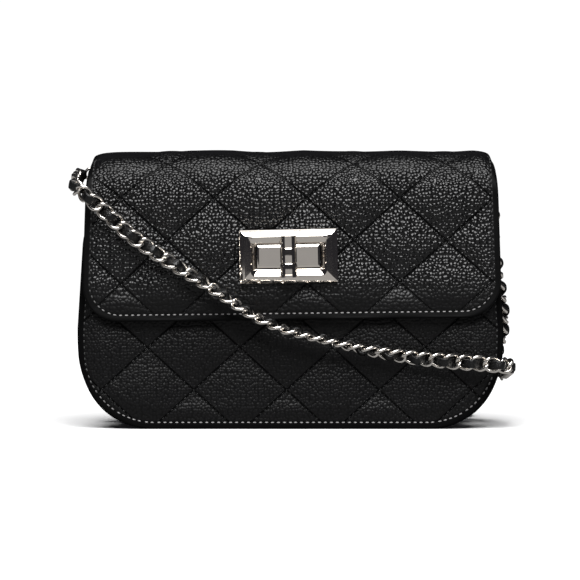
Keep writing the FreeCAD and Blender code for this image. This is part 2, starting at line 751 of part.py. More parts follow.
def keeper_rivets():
    face = f"{at('front_face')} - {at('keeper_thick')}"
    length = f"{at('keeper_thick')} + {at('leather')} + {at('padding')} + {at('board')}"
    shanks = rivet_rods("rivet_shank", at("rivet_radius"), face, length)
    head_start = f"{face} - {at('rivet_head')}"
    heads = rivet_rods("rivet_head", at("rivet_head_radius"), head_start, at("rivet_head"))
    node(joined(shanks + heads, "keeper_rivets"), "keeper_rivets")


# ---------------------------------------------------------------- strap tabs and rings
def gusset_half(height):
    """Half the gusset's width at a height."""
    return S["half_width"] - S["rim"] - S["side_slope"] * (height - S["corner"])


def side_tab(label, side):
    """A leather tab, folded round the ring's straight side and sewn flat on the gusset."""
    thick = 2 * S["leather"]
    bore = S["ring_wire"] + S["ring_play"]
    wide = S["tab_wide"]
    leg = Part.makeBox(thick, wide, S["tab_long"], Vector(0, -wide / 2, -S["tab_long"]))
    fold, along = Vector(bore + S["leather"], -wide / 2, 0), Vector(0, 1, 0)
    turn = Part.makeCylinder(bore + S["leather"], wide, fold, along)
    hole = Part.makeCylinder(bore, wide, fold, along)
    made = DOC.addObject("Part::Feature", label)
    made.Shape = leg.fuse(turn).cut(hole).removeSplitter()
    lean = math.degrees(math.atan(S["side_slope"]))
    turn_out = Rotation(Vector(0, 0, 1), 0 if side > 0 else 180)
    rotation = turn_out.multiply(Rotation(Vector(0, -1, 0), lean))
    place = Vector(side * (gusset_half(S["tab_height"]) + S["tab_gap"]), S["mid_depth"], S["tab_height"])
    made.Placement = Placement(place, rotation)
    node(made, label)


def ring_path(half, tall, corner):
    """A D's centre line in the YZ plane: a straight side at Z = 0 and a round top."""
    def arc(y, z, radius, start, end):
        points = [
            Vector(0, y + radius * math.cos(math.radians(a)), z + radius * math.sin(math.radians(a)))
            for a in (start, (start + end) / 2, end)
        ]
        return Part.Arc(*points).toShape()

    return Part.Wire(
        [
            Part.LineSegment(Vector(0, -half + corner, 0), Vector(0, half - corner, 0)).toShape(),
            arc(half - corner, corner, corner, -90, 0),
            Part.LineSegment(Vector(0, half, corner), Vector(0, half, tall - half)).toShape(),
            arc(0, tall - half, half, 0, 180),
            Part.LineSegment(Vector(0, -half, tall - half), Vector(0, -half, corner)).toShape(),
            arc(-half + corner, corner, corner, 180, 270),
        ]
    )


def ring_place(side, swing):
    """Where a ring hangs: on its tab's fold, swung out from upright by an angle."""
    thick = S["ring_wire"] + S["ring_play"] + S["leather"]
    x = side * (gusset_half(S["tab_height"]) + S["tab_gap"] + thick)
    return Placement(Vector(x, S["mid_depth"], S["tab_height"]), Rotation(Vector(0, side, 0), swing))


def d_ring(label, side, swing):
    path = ring_path(S["ring_half"], S["ring_tall"], S["ring_corner"])
    section = Part.Wire(Part.Circle(Vector(0, 0, 0), Vector(0, 1, 0), S["ring_wire"]).toShape())
    made = DOC.addObject("Part::Feature", label)
    made.Shape = path.makePipeShell([section], True, False)
    made.Placement = ring_place(side, swing)
    node(made, label)


def link_ring(label, side, swing):
    """The round link that joins the strap's last link to a D ring."""
    made = DOC.addObject("Part::Torus", label)
    made.setExpression("Radius1", at("link_ring"))
    made.setExpression("Radius2", at("link_wire"))
    hang = S["link_ring"] - S["link_wire"] - S["ring_wire"] - S["ring_play"]
    hook = ring_place(side, swing).multVec(Vector(0, 0, S["ring_tall"] + hang))
    made.Placement = Placement(hook, Rotation(Vector(1, 0, 0), 90))
    node(made, label)


# ---------------------------------------------------------------- the strap
# A chain with a leather lace. It is limp, so it turns tightly round the flap's edge, where it is
# pulled against the bag, and round the bag's right side. The runs are millimetres by hand.
STRAP_FRONT = [
    (-105.0, 3.8, 128.6),
    (-106.6, -4.5, 126.6),
    (-107.8, -14.5, 124.4),
    (-107.8, -24.0, 121.8),
    (-102.0, -30.6, 118.0),
    (-91.5, -29.2, 108.9),
    (-80.8, -28.0, 98.4),
    (-70.2, -27.8, 91.0),
    (-58.2, -27.6, 83.0),
    (-43.8, -27.8, 74.3),
    (-30.2, -27.9, 65.2),
    (-18.4, -27.5, 57.2),
    (-4.9, -26.7, 51.0),
    (9.2, -25.2, 47.0),
    (24.2, -23.8, 43.0),
    (38.7, -22.6, 39.7),
    (55.0, -22.0, 37.0),
    (73.5, -22.1, 34.8),
    (90.0, -23.2, 33.6),
    (101.5, -26.2, 33.0),
    (109.8, -20.2, 32.0),
    (110.0, -9.0, 30.6),
    (109.6, 3.5, 29.2),
    (109.6, 17.0, 28.0),
    (109.8, 31.6, 26.6),
    (99.6, 41.6, 22.0),
    (88.5, 44.2, 13.5),
    (75.5, 46.8, 7.0),
    (63.5, 48.2, 5.2),
    (55.0, 48.6, 5.2),
]
STRAP_SIDE = [
    (64.0, 109.0, 6.5),
    (74.5, 107.5, 12.8),
    (86.0, 103.0, 12.6),
    (94.0, 94.5, 6.5),
    (93.0, 82.0, 5.0),
    (88.5, 70.0, 5.4),
    (90.5, 59.5, 11.0),
    (98.5, 52.5, 21.5),
    (105.5, 44.5, 33.0),
    (109.0, 36.0, 44.0),
    (109.2, 26.0, 55.0),
    (107.4, 18.0, 66.0),
    (105.6, 13.0, 77.5),
    (104.0, 9.6, 89.0),
    (102.2, 7.6, 101.0),
]


def tube_path(points):
    """Straight runs joined by tangent arcs, each as large as its two runs allow."""
    route = [Vector(*p) for p in points]
    edges, radii, last = [], [], route[0]
    for before, here, after in zip(route, route[1:], route[2:]):
        into, out = here - before, after - here
        half_turn = into.getAngle(out) / 2
        reach = 0.45 * min(into.Length, out.Length)
        radii.append(reach / math.tan(half_turn))
        start = here - into.normalize() * reach
        end = here + out.normalize() * reach
        middle_way = ((start + end) * 0.5 - here).normalize()
        centre = here + middle_way * (radii[-1] / math.cos(half_turn))
        middle = centre - middle_way * radii[-1]
        edges.append(Part.LineSegment(last, start).toShape())
        edges.append(Part.Arc(start, middle, end).toShape())
        last = end
    edges.append(Part.LineSegment(last, route[-1]).toShape())
    return Part.Wire(edges), radii


def strap_tube(label, points):
    """The strap's plain outer tube along a route. It prints its radii and checks its volume."""
    path, radii = tube_path(points)
    tangent = Vector(*points[1]) - Vector(*points[0])
    section = Part.Wire(Part.Circle(Vector(*points[0]), tangent, S["strap_radius"]).toShape())
    made = DOC.addObject("Part::Feature", label)
    made.Shape = path.makePipeShell([section], True, False)
    expected = math.pi * S["strap_radius"] ** 2 * path.Length
    share = made.Shape.Volume / expected
    print(f"{label}: {path.Length:.0f} mm long, volume {share:.4f} of section x length")
    print("  radii", " ".join(f"{radius:.0f}" for radius in radii))
    node(made, label)


def strap_hank():
    """The rest of the strap, folded flat on the ground behind the bag."""
    made = body("strap_hank")
    drawing = sketch(made, "XY_Plane", at("tie_thick"))
    rounded_rectangle(drawing, "hank_long", "hank_wide", "hank_corner", "zero", "hank_y")
    pad(made, drawing, at("hank_deep"), backwards=False)


def strap_tie():
    """The flat band round the folded strap."""
    for name, thick in (("tie_outside", 2), ("tie_inside", 0)):
        block = DOC.addObject("Part::Box", name)
        grow = f"{at('tie_thick')} * {thick}"
        block.setExpression("Length", f"{at('tie_wide')} + {2 - thick}")
        block.setExpression("Width", f"{at('hank_wide')} + {grow}")
        block.setExpression("Height", f"{at('hank_deep')} + {grow}")
        block.setExpression("Placement.Base.x", f"-({at('tie_wide')} + {2 - thick}) / 2")
        block.setExpression("Placement.Base.y", f"{at('hank_y')} - ({at('hank_wide')} + {grow}) / 2")
        block.setExpression("Placement.Base.z", f"{at('tie_thick')} - {grow} / 2")
    node(drilled(DOC.getObject("tie_outside"), [DOC.getObject("tie_inside")], "strap_tie"), "strap_tie")


# ---------------------------------------------------------------- make and write
def write_nodes():
    """Check every object and every node's shape, then write one STEP file for each node."""
    DOC.recompute()
    failed = [o.Label for o in DOC.Objects if {"Invalid", "Error"} & set(o.State)]
    if failed:
        raise RuntimeError(f"these objects failed: {failed}")
    for made in NODES:
        if made.Shape.isNull() or not made.Shape.isValid() or made.Shape.Volume <= 0:
            raise RuntimeError(f"{made.Label} has no valid shape")
    os.makedirs("parts", exist_ok=True)
    for made in NODES:
        made.Shape.exportStep(f"parts/{made.Label}.step")


front_panel()
back_panel()
gusset_outer()
gusset_layer("gusset_board", "rim_and_leather", "rim_and_board")
gusset_layer("gusset_lining", "rim_and_board", "rim_and_lining")
keeper_plate()
keeper_backing()
keeper_rivets()
side_tab("side_tab_left", -1)
side_tab("side_tab_right", 1)
d_ring("d_ring_left", -1, 12)
d_ring("d_ring_right", 1, 159)
flap()
lock_frame()
lock_pads()
lock_backplate()
lock_screws()
lock_washer()
lock_turn_bar()
lock_lug()
link_ring("strap_link_left", -1, 12)
link_ring("strap_link_right", 1, 159)
strap_tube("strap_front", STRAP_FRONT)
strap_tube("strap_side", STRAP_SIDE)
strap_hank()
strap_tie()
write_nodes()
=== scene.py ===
import json
from math import cos, hypot, pi, radians, sin, tau

import bmesh
import bpy
import numpy as np
from mathutils import Matrix, Vector

# Crossbody purse: quilted leather, a flap with a turn lock, and a chain strap laced with leather.
# Lengths in this script are millimetres until new_piece() makes a mesh of them.
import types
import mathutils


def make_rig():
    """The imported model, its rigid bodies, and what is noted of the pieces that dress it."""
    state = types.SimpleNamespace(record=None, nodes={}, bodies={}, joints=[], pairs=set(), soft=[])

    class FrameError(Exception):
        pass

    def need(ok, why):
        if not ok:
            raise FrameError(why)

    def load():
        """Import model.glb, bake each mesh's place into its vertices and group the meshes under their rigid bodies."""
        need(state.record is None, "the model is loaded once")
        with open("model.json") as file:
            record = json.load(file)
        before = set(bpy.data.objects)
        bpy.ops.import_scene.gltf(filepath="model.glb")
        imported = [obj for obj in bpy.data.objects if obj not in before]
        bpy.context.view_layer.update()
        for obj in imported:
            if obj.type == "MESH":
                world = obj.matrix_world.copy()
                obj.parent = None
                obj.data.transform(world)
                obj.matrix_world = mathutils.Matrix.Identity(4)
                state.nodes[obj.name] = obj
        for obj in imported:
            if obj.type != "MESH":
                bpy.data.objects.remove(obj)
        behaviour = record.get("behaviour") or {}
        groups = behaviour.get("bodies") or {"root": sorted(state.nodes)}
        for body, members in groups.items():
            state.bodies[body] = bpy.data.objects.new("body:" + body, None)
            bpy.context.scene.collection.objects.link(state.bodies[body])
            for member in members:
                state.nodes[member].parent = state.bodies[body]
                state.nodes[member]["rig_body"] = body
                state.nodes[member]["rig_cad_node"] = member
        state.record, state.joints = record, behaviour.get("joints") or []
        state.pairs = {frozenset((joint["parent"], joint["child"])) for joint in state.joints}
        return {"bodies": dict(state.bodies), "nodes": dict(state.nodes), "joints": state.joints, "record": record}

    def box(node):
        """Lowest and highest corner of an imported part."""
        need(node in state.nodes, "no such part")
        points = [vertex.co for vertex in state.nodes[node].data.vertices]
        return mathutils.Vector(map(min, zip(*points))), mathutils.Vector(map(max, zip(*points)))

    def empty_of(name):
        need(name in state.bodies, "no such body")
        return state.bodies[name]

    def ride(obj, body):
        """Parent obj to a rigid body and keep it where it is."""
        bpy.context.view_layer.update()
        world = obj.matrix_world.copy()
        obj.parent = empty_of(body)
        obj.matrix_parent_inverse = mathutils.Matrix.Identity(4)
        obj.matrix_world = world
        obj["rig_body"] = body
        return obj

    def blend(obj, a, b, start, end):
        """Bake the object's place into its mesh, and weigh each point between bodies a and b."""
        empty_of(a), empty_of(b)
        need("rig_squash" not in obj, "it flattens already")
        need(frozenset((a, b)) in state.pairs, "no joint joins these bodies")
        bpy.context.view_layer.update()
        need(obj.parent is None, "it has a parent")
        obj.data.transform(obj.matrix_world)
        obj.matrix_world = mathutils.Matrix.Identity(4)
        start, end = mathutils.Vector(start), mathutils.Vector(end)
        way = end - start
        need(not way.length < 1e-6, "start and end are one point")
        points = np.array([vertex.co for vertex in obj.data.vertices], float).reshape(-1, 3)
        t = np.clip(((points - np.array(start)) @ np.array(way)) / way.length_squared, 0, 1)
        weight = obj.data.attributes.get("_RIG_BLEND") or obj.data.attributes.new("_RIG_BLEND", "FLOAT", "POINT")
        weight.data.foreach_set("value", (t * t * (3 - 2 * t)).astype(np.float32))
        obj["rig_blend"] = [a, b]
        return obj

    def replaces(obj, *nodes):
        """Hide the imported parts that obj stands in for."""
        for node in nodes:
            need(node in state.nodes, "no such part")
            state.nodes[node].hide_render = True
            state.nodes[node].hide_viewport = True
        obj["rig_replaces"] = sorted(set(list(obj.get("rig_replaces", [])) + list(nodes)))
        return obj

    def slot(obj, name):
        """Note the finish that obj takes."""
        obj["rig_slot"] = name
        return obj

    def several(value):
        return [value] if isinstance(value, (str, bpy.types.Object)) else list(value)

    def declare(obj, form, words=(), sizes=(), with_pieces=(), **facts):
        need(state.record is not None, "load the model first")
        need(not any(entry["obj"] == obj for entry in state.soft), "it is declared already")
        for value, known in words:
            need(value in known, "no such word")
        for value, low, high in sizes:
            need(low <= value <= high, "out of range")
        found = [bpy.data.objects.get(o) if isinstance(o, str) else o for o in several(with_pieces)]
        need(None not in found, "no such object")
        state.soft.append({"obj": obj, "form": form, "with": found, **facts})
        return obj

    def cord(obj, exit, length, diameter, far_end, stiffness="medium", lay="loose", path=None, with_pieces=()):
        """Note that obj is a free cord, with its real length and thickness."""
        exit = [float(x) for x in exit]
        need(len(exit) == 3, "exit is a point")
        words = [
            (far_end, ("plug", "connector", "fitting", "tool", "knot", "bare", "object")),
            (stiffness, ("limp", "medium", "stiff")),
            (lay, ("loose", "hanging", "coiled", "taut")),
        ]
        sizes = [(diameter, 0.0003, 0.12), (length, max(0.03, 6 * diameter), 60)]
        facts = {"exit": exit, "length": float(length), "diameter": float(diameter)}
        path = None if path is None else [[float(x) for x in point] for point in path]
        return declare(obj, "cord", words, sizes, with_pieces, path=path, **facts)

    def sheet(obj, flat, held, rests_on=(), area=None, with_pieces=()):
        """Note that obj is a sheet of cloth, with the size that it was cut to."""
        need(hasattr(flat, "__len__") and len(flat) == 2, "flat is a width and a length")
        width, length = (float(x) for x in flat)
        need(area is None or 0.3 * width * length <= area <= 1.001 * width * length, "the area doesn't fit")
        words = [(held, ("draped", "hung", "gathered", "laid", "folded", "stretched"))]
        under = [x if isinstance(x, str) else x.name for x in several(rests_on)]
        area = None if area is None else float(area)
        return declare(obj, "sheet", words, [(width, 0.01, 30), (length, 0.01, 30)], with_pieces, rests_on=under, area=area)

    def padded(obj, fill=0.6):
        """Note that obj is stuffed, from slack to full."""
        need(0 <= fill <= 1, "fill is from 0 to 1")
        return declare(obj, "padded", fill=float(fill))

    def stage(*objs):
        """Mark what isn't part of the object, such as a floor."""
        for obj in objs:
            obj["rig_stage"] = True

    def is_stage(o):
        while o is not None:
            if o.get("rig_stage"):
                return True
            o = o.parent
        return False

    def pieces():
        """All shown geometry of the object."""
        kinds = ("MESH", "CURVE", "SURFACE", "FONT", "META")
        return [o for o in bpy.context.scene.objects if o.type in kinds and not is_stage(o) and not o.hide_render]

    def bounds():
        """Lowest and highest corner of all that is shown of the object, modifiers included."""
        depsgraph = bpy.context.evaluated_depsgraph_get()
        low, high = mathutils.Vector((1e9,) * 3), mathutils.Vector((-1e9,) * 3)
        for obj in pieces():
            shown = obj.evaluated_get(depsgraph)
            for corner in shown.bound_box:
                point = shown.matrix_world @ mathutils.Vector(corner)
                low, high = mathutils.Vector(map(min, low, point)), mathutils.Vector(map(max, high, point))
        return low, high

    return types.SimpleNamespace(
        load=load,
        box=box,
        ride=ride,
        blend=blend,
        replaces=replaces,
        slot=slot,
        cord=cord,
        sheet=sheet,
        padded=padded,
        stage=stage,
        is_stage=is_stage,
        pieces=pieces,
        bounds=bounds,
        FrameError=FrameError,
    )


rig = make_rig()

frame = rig.load()
CAD_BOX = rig.bounds()
NODES = frame["nodes"]
MM = 0.001
HAIR = 0.02  # what keeps two faces from lying in one plane


def box_mm(node):
    """A CAD node's lowest and highest corner, in millimetres."""
    low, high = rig.box(node)
    return np.array(low) / MM, np.array(high) / MM


# ---------------------------------------------------------------- arrays
def smooth_step(value, low, high):
    """0 below low, 1 above high, and smooth between them."""
    share = np.clip((np.asarray(value, float) - low) / (high - low), 0.0, 1.0)
    return share * share * (3.0 - 2.0 * share)


def unit(vectors):
    """The vectors with length 1."""
    vectors = np.asarray(vectors, float)
    return vectors / np.linalg.norm(vectors, axis=-1, keepdims=True)


def square_to(ahead, vectors):
    """The vectors turned square to ahead, with length 1."""
    return unit(vectors - ahead * (vectors * ahead).sum(axis=1, keepdims=True))


def arc_lengths(points):
    """How far along a line each of its points is."""
    steps = np.linalg.norm(np.diff(points, axis=0), axis=1)
    return np.concatenate([[0.0], np.cumsum(steps)])


def resampled(points, step):
    """The same line with points at an even distance."""
    along = arc_lengths(points)
    even = np.linspace(0.0, along[-1], max(2, round(along[-1] / step) + 1))
    return np.stack([np.interp(even, along, points[:, axis]) for axis in range(3)], axis=1)


def softened(values, count):
    """A moving average along the first axis, with the ends held."""
    padded = np.concatenate([np.repeat(values[:1], count, 0), values, np.repeat(values[-1:], count, 0)])
    window = np.ones(2 * count + 1) / (2 * count + 1)
    return np.stack([np.convolve(padded[:, n], window, "valid") for n in range(values.shape[1])], axis=1)


def waves(x, y, size, seed):
    """A gentle unevenness, about -1 to 1, from a few crossed sine waves of about this wavelength."""
    turn = np.random.default_rng(seed)
    total = np.zeros(np.broadcast(x, y).shape)
    for _ in range(5):
        angle, phase, stretch = turn.uniform(0, tau), turn.uniform(0, tau), turn.uniform(0.7, 1.5)
        total += np.sin((x * cos(angle) + y * sin(angle)) * tau / (size * stretch) + phase)
    return total / 3.0


# ---------------------------------------------------------------- meshes
def in_scene(name, data):
    """A new object in the scene."""
    made = bpy.data.objects.new(name, data)
    bpy.context.scene.collection.objects.link(made)
    return made


def belongs(piece, body, slot, *nodes):
    """Says which body a piece rides on, its slot, and the CAD nodes that it stands in for."""
    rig.ride(piece, body)
    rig.slot(piece, slot)
    if nodes:
        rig.replaces(piece, *nodes)


def point_values(mesh, name, values):
    """Gives a mesh a number at each point, which a material can read."""
    each = np.broadcast_to(values, len(mesh.vertices)).astype(np.float32)
    mesh.attributes.new(name, "FLOAT", "POINT").data.foreach_set("value", each)


def new_piece(name, points, faces, made_of, sharp=None, pattern=None, pebble=1.0):
    """A smooth mesh piece from points in millimetres. Edges that turn more than sharp degrees stay crisp.

    pattern gives each point's place on the flat leather, which the grain follows, and pebble how
    strongly the grain stands out there, from 0 to 1.
    """
    mesh = bpy.data.meshes.new(name)
    mesh.from_pydata((np.asarray(points) * MM).tolist(), [], [tuple(map(int, face)) for face in faces])
    shape = bmesh.new()
    shape.from_mesh(mesh)
    bmesh.ops.recalc_face_normals(shape, faces=shape.faces)
    shape.to_mesh(mesh)
    shape.free()
    mesh.polygons.foreach_set("use_smooth", [True] * len(mesh.polygons))
    if sharp is not None:
        mesh.set_sharp_from_angle(angle=radians(sharp))
    if pattern is not None:
        corners = np.zeros(len(mesh.loops), int)
        mesh.loops.foreach_get("vertex_index", corners)
        flat = np.asarray(pattern, float).reshape(-1, 2)[corners] * MM
        mesh.uv_layers.new(name="pattern").data.foreach_set("uv", flat.ravel())
        point_values(mesh, "pebble", pebble)
    mesh.materials.append(made_of)
    return in_scene(name, mesh)


def grid_faces(rows, columns, start=0, closed_rows=False, closed_columns=False):
    """Quads over a grid of points, row by row."""
    faces = []
    for row in range(rows if closed_rows else rows - 1):
        here, above = start + row * columns, start + (row + 1) % rows * columns
        for column in range(columns if closed_columns else columns - 1):
            right = (column + 1) % columns
            faces.append((here + column, here + right, above + right, above + column))
    return faces


def shell_faces(rows, columns):
    """Quads over two grids of points, one behind the other, and between their edges."""
    size = rows * columns
    front = grid_faces(rows, columns)
    back = [tuple(v + size for v in face[::-1]) for face in front]
    left = [row * columns for row in range(rows)]
    edge = left[::-1] + list(range(1, columns)) + [v + columns - 1 for v in left[1:]]
    edge += list(range(size - 2, size - columns, -1))
    return front + back + [(b, a, a + size, b + size) for a, b in zip(edge, edge[1:] + edge[:1])]


def tube_faces(rows, columns, start=0):
    """Quads round a tube whose rows are closed loops, and a face over each end."""
    last = start + (rows - 1) * columns
    ends = [tuple(range(start, start + columns))[::-1], tuple(range(last, last + columns))]
    return grid_faces(rows, columns, start, closed_columns=True) + ends


def blunted(values, power):
    """Cosines or sines raised to a power under 1, which turns a round outline into a boxy one."""
    return np.sign(values) * abs(values) ** power


def copies(template, faces, places):
    """One mesh of many copies. places is (count, 4, 3): three axes and a position for each."""
    points = np.einsum("pk,nkj->npj", template, places[:, :3]) + places[:, None, 3]
    count = len(template)
    every = [tuple(v + n * count for v in face) for n in range(len(places)) for face in faces]
    return points.reshape(-1, 3), every


# ---------------------------------------------------------------- materials
def material(name, **values):
    """A material and its shader, with plain values on the shader's own sockets."""
    made = bpy.data.materials.new(name)
    made.use_nodes = True
    shader = made.node_tree.nodes["Principled BSDF"]
    for socket, value in values.items():
        shader.inputs[socket.replace("_", " ")].default_value = value
    return made, shader


def add(made, kind, inputs=None, **settings):
    """A node in a material or the world. inputs gives each socket's value, or the socket that feeds it."""
    node = made.node_tree.nodes.new(f"ShaderNode{kind}")
    for name, value in settings.items():
        setattr(node, name, value)
    for socket, value in (inputs or {}).items():
        if isinstance(value, bpy.types.NodeSocket):
            made.node_tree.links.new(value, node.inputs[socket])
        else:
            node.inputs[socket].default_value = value
    return node


def math_node(made, operation, first, second=None):
    """The result of a sum on one or two numbers."""
    inputs = {0: first} if second is None else {0: first, 1: second}
    return add(made, "Math", inputs, operation=operation).outputs[0]


def vector_node(made, operation, first, second):
    """The result of a sum on two vectors."""
    return add(made, "VectorMath", {0: first, 1: second}, operation=operation).outputs[0]


def noise(made, place, scale, detail, dimensions="3D"):
    """The outputs of a cloudy pattern."""
    inputs = {"Vector": place, "Scale": scale, "Detail": detail}
    return add(made, "TexNoise", inputs, noise_dimensions=dimensions).outputs


def carried(made, value, new, old=(0.0, 1.0), **settings):
    """A value carried from the range old to the range new."""
    limits = {"From Min": old[0], "From Max": old[1], "To Min": new[0], "To Max": new[1]}
    return add(made, "MapRange", {"Value": value, **limits}, **settings).outputs["Result"]


def place_in(made):
    """The point in the object's own frame, in metres."""
    return add(made, "TexCoord").outputs["Object"]


def on_pattern(made):
    """The point on the flat leather, in metres."""
    return add(made, "UVMap", uv_map="pattern").outputs["UV"]


def mesh_value(made, name):
    """A number that the mesh has at each point."""
    return add(made, "Attribute", attribute_name=name).outputs["Fac"]


def bumped(made, shader, height, distance, under=None):
    """Relief from a height of 0 to 1, on top of the relief under it. distance is in metres."""
    inputs = {"Height": height, "Distance": distance}
    if under is not None:
        inputs["Normal"] = under
    relief = add(made, "Bump", inputs).outputs["Normal"]
    made.node_tree.links.new(relief, shader.inputs["Normal"])
    return relief


def feed(made, shader, socket, source, low, high, clamp=True):
    """Lets a pattern of 0 to 1 drive a shader's socket between two values."""
    made.node_tree.links.new(carried(made, source, (low, high), clamp=clamp), shader.inputs[socket])


def tinted(made, shader, source, dark, light):
    """Lets a pattern of 0 to 1 drive the base colour between two colours."""
    ramp = add(made, "ValToRGB", {"Fac": source})
    ramp.color_ramp.elements[0].color = (*dark, 1.0)
    ramp.color_ramp.elements[1].color = (*light, 1.0)
    made.node_tree.links.new(ramp.outputs["Color"], shader.inputs["Base Color"])


QUILT = (46.5, 42.5)  # a quilted diamond's width and height
QUILT_APART = QUILT[0] * QUILT[1] / hypot(*QUILT)  # between neighbouring seams
SEAM_DENT = (0.1, 0.7)  # how far from a seam its dent starts to fade, and where it ends
WEAVE = 0.7  # after which the cloth's weave repeats


def seam_mask(made, place):
    """1 along the quilting's seams and 0 away from them."""
    axes = add(made, "SeparateXYZ", {0: place}).outputs
    across, up = (math_node(made, "DIVIDE", axes[axis], size * MM) for axis, size in zip("XY", QUILT))
    offs = []
    for operation in ("ADD", "SUBTRACT"):
        family = math_node(made, operation, across, up)
        off = math_node(made, "SUBTRACT", family, math_node(made, "ROUND", family))
        offs.append(math_node(made, "ABSOLUTE", off))
    shares = [distance / QUILT_APART for distance in SEAM_DENT]
    off = math_node(made, "MINIMUM", *offs)
    return carried(made, off, (1.0, 0.0), shares, interpolation_type="SMOOTHSTEP")


def leather(name, cell=1.75, relief=0.46, roughness=0.25, gloss=0.41, quilted=False):
    """Black pebbled leather: round grains with creases between them, finer pores, and faint wear.

    cell is a grain's size and relief its height, in millimetres. Where the mesh's pebble is low the grain
    is flat and the face dull. Quilted leather has dull dents along its seams.
    """
    made, shader = material(name)
    place = on_pattern(made)
    shift = vector_node(made, "MULTIPLY", noise(made, place, 330.0, 1.0, "2D")["Color"], (0.9 * MM,) * 3)
    bent = vector_node(made, "ADD", place, shift)
    inputs = {"Vector": bent, "Scale": 1000.0 / cell, "Randomness": 0.75}
    grains = add(made, "TexVoronoi", inputs, voronoi_dimensions="2D", feature="F1")
    rounded = math_node(made, "POWER", grains.outputs["Distance"], 1.8)
    dome = carried(made, rounded, (1.0, 0.0), (0.0, 0.5))
    pores = noise(made, place, 3800.0, 2.0, "2D")["Fac"]
    clouds = noise(made, place, 60.0, 3.0, "2D")["Fac"]
    under = bumped(made, shader, pores, 0.02 * MM)
    pebble = shine = mesh_value(made, "pebble")
    grain = math_node(made, "MULTIPLY", dome, pebble)
    if quilted:
        inside_edge = math_node(made, "MINIMUM", 1.0, math_node(made, "MULTIPLY", pebble, 2.5))
        dent = math_node(made, "MULTIPLY", seam_mask(made, place), inside_edge)
        flat = math_node(made, "SUBTRACT", 1.0, dent)
        under = bumped(made, shader, flat, 0.22 * MM, under)
        grain = math_node(made, "MULTIPLY", grain, flat)
        shine = math_node(made, "MULTIPLY", pebble, flat)
    bumped(made, shader, grain, relief * MM, under)
    feed(made, shader, "Specular IOR Level", shine, 0.25 * gloss, gloss)
    worn = math_node(made, "MULTIPLY", math_node(made, "SUBTRACT", 1.0, pebble), 3.0)
    uneven = math_node(made, "ADD", clouds, worn)
    feed(made, shader, "Roughness", uneven, roughness - 0.06, roughness + 0.06, clamp=False)
    # Painted light: the base colour follows the grain's height. Each grain's top is lighter, a painted highlight. The
    # creases between grains, the quilting's seam dents, and places where the pebble is low are darker, as painted
    # shade.
    tinted(made, shader, grain, (0.0009, 0.0009, 0.0010), (0.0042, 0.0041, 0.0044))
    return made


def chrome(name, colour, roughness):
    """Plated metal with faint polishing marks."""
    made, shader = material(name, Metallic=1.0)
    place = place_in(made)
    haze = noise(made, place, 130.0, 2.0)["Fac"]
    bumped(made, shader, noise(made, place, 900.0, 4.0)["Fac"], 0.004 * MM)
    feed(made, shader, "Roughness", haze, roughness * 0.6, roughness * 1.4)
    tinted(made, shader, haze, tuple(0.93 * part for part in colour), colour)
    return made


def plain_steel():
    """Unplated sheet steel, brushed along X."""
    made, shader = material("plain_steel", Metallic=1.0)
    stretched = vector_node(made, "MULTIPLY", place_in(made), (60.0, 3000.0, 3000.0))
    brushed = noise(made, stretched, 1.0, 3.0)["Fac"]
    bumped(made, shader, brushed, 0.01 * MM)
    feed(made, shader, "Roughness", brushed, 0.28, 0.5)
    tinted(made, shader, brushed, (0.30, 0.30, 0.31), (0.46, 0.46, 0.47))
    return made


def cloth(name, dark, light):
    """A fine plain weave."""
    made, shader = material(name, Roughness=0.85, Sheen_Weight=0.15)
    axes = add(made, "SeparateXYZ", {0: place_in(made)}).outputs
    turns = [math_node(made, "MULTIPLY", axes[axis], tau / (WEAVE * MM)) for axis in "XYZ"]
    first, second, third = [math_node(made, "SINE", turn) for turn in turns]
    crossed = math_node(made, "MULTIPLY", math_node(made, "ADD", first, second), third)
    weave = carried(made, crossed, (0.0, 1.0), (-2.0, 2.0))
    bumped(made, shader, weave, 0.1 * MM)
    tinted(made, shader, weave, dark, light)
    return made


def thread(name, dark, light):
    """Waxed, twisted thread. How pale it is at each point is read from the mesh: painted light, pale on the level
    stitches that the light from above catches, and dark, as painted shade, on upright ones.
    """
    made, shader = material(name, Roughness=0.38, Sheen_Weight=0.2)
    inputs = {"Vector": place_in(made), "Scale": 900.0, "Distortion": 1.0}
    twist = add(made, "TexWave", inputs, bands_direction="DIAGONAL").outputs["Fac"]
    bumped(made, shader, twist, 0.06 * MM)
    uneven = math_node(made, "ADD", math_node(made, "MULTIPLY", twist, 0.3), 0.7)
    # painted light and shade: the paleness set on the mesh makes level stitches light and upright stitches dark
    tinted(made, shader, math_node(made, "MULTIPLY", uneven, mesh_value(made, "painted_light")), dark, light)
    return made


def seen_apart(made, room, seen, output):
    """Shows the camera one shader, and everything else another."""
    ray = add(made, "LightPath").outputs["Is Camera Ray"]
    choice = add(made, "MixShader", {0: ray, 1: room.outputs[0], 2: seen.outputs[0]})
    made.node_tree.links.new(choice.outputs[0], made.node_tree.nodes[output].inputs["Surface"])


def pale_floor():
    """White paper. What it throws back on to the bag is kept down, as by black cards out of the picture."""
    made, shader = material("floor", Roughness=0.75, Specular_IOR_Level=0.0)
    tinted(made, shader, noise(made, place_in(made), 300.0, 2.0)["Fac"], (0.91,) * 3, (0.93,) * 3)
    card = add(made, "BsdfDiffuse", {"Color": (0.26, 0.26, 0.26, 1.0)})
    seen_apart(made, card, shader, "Material Output")
    return made


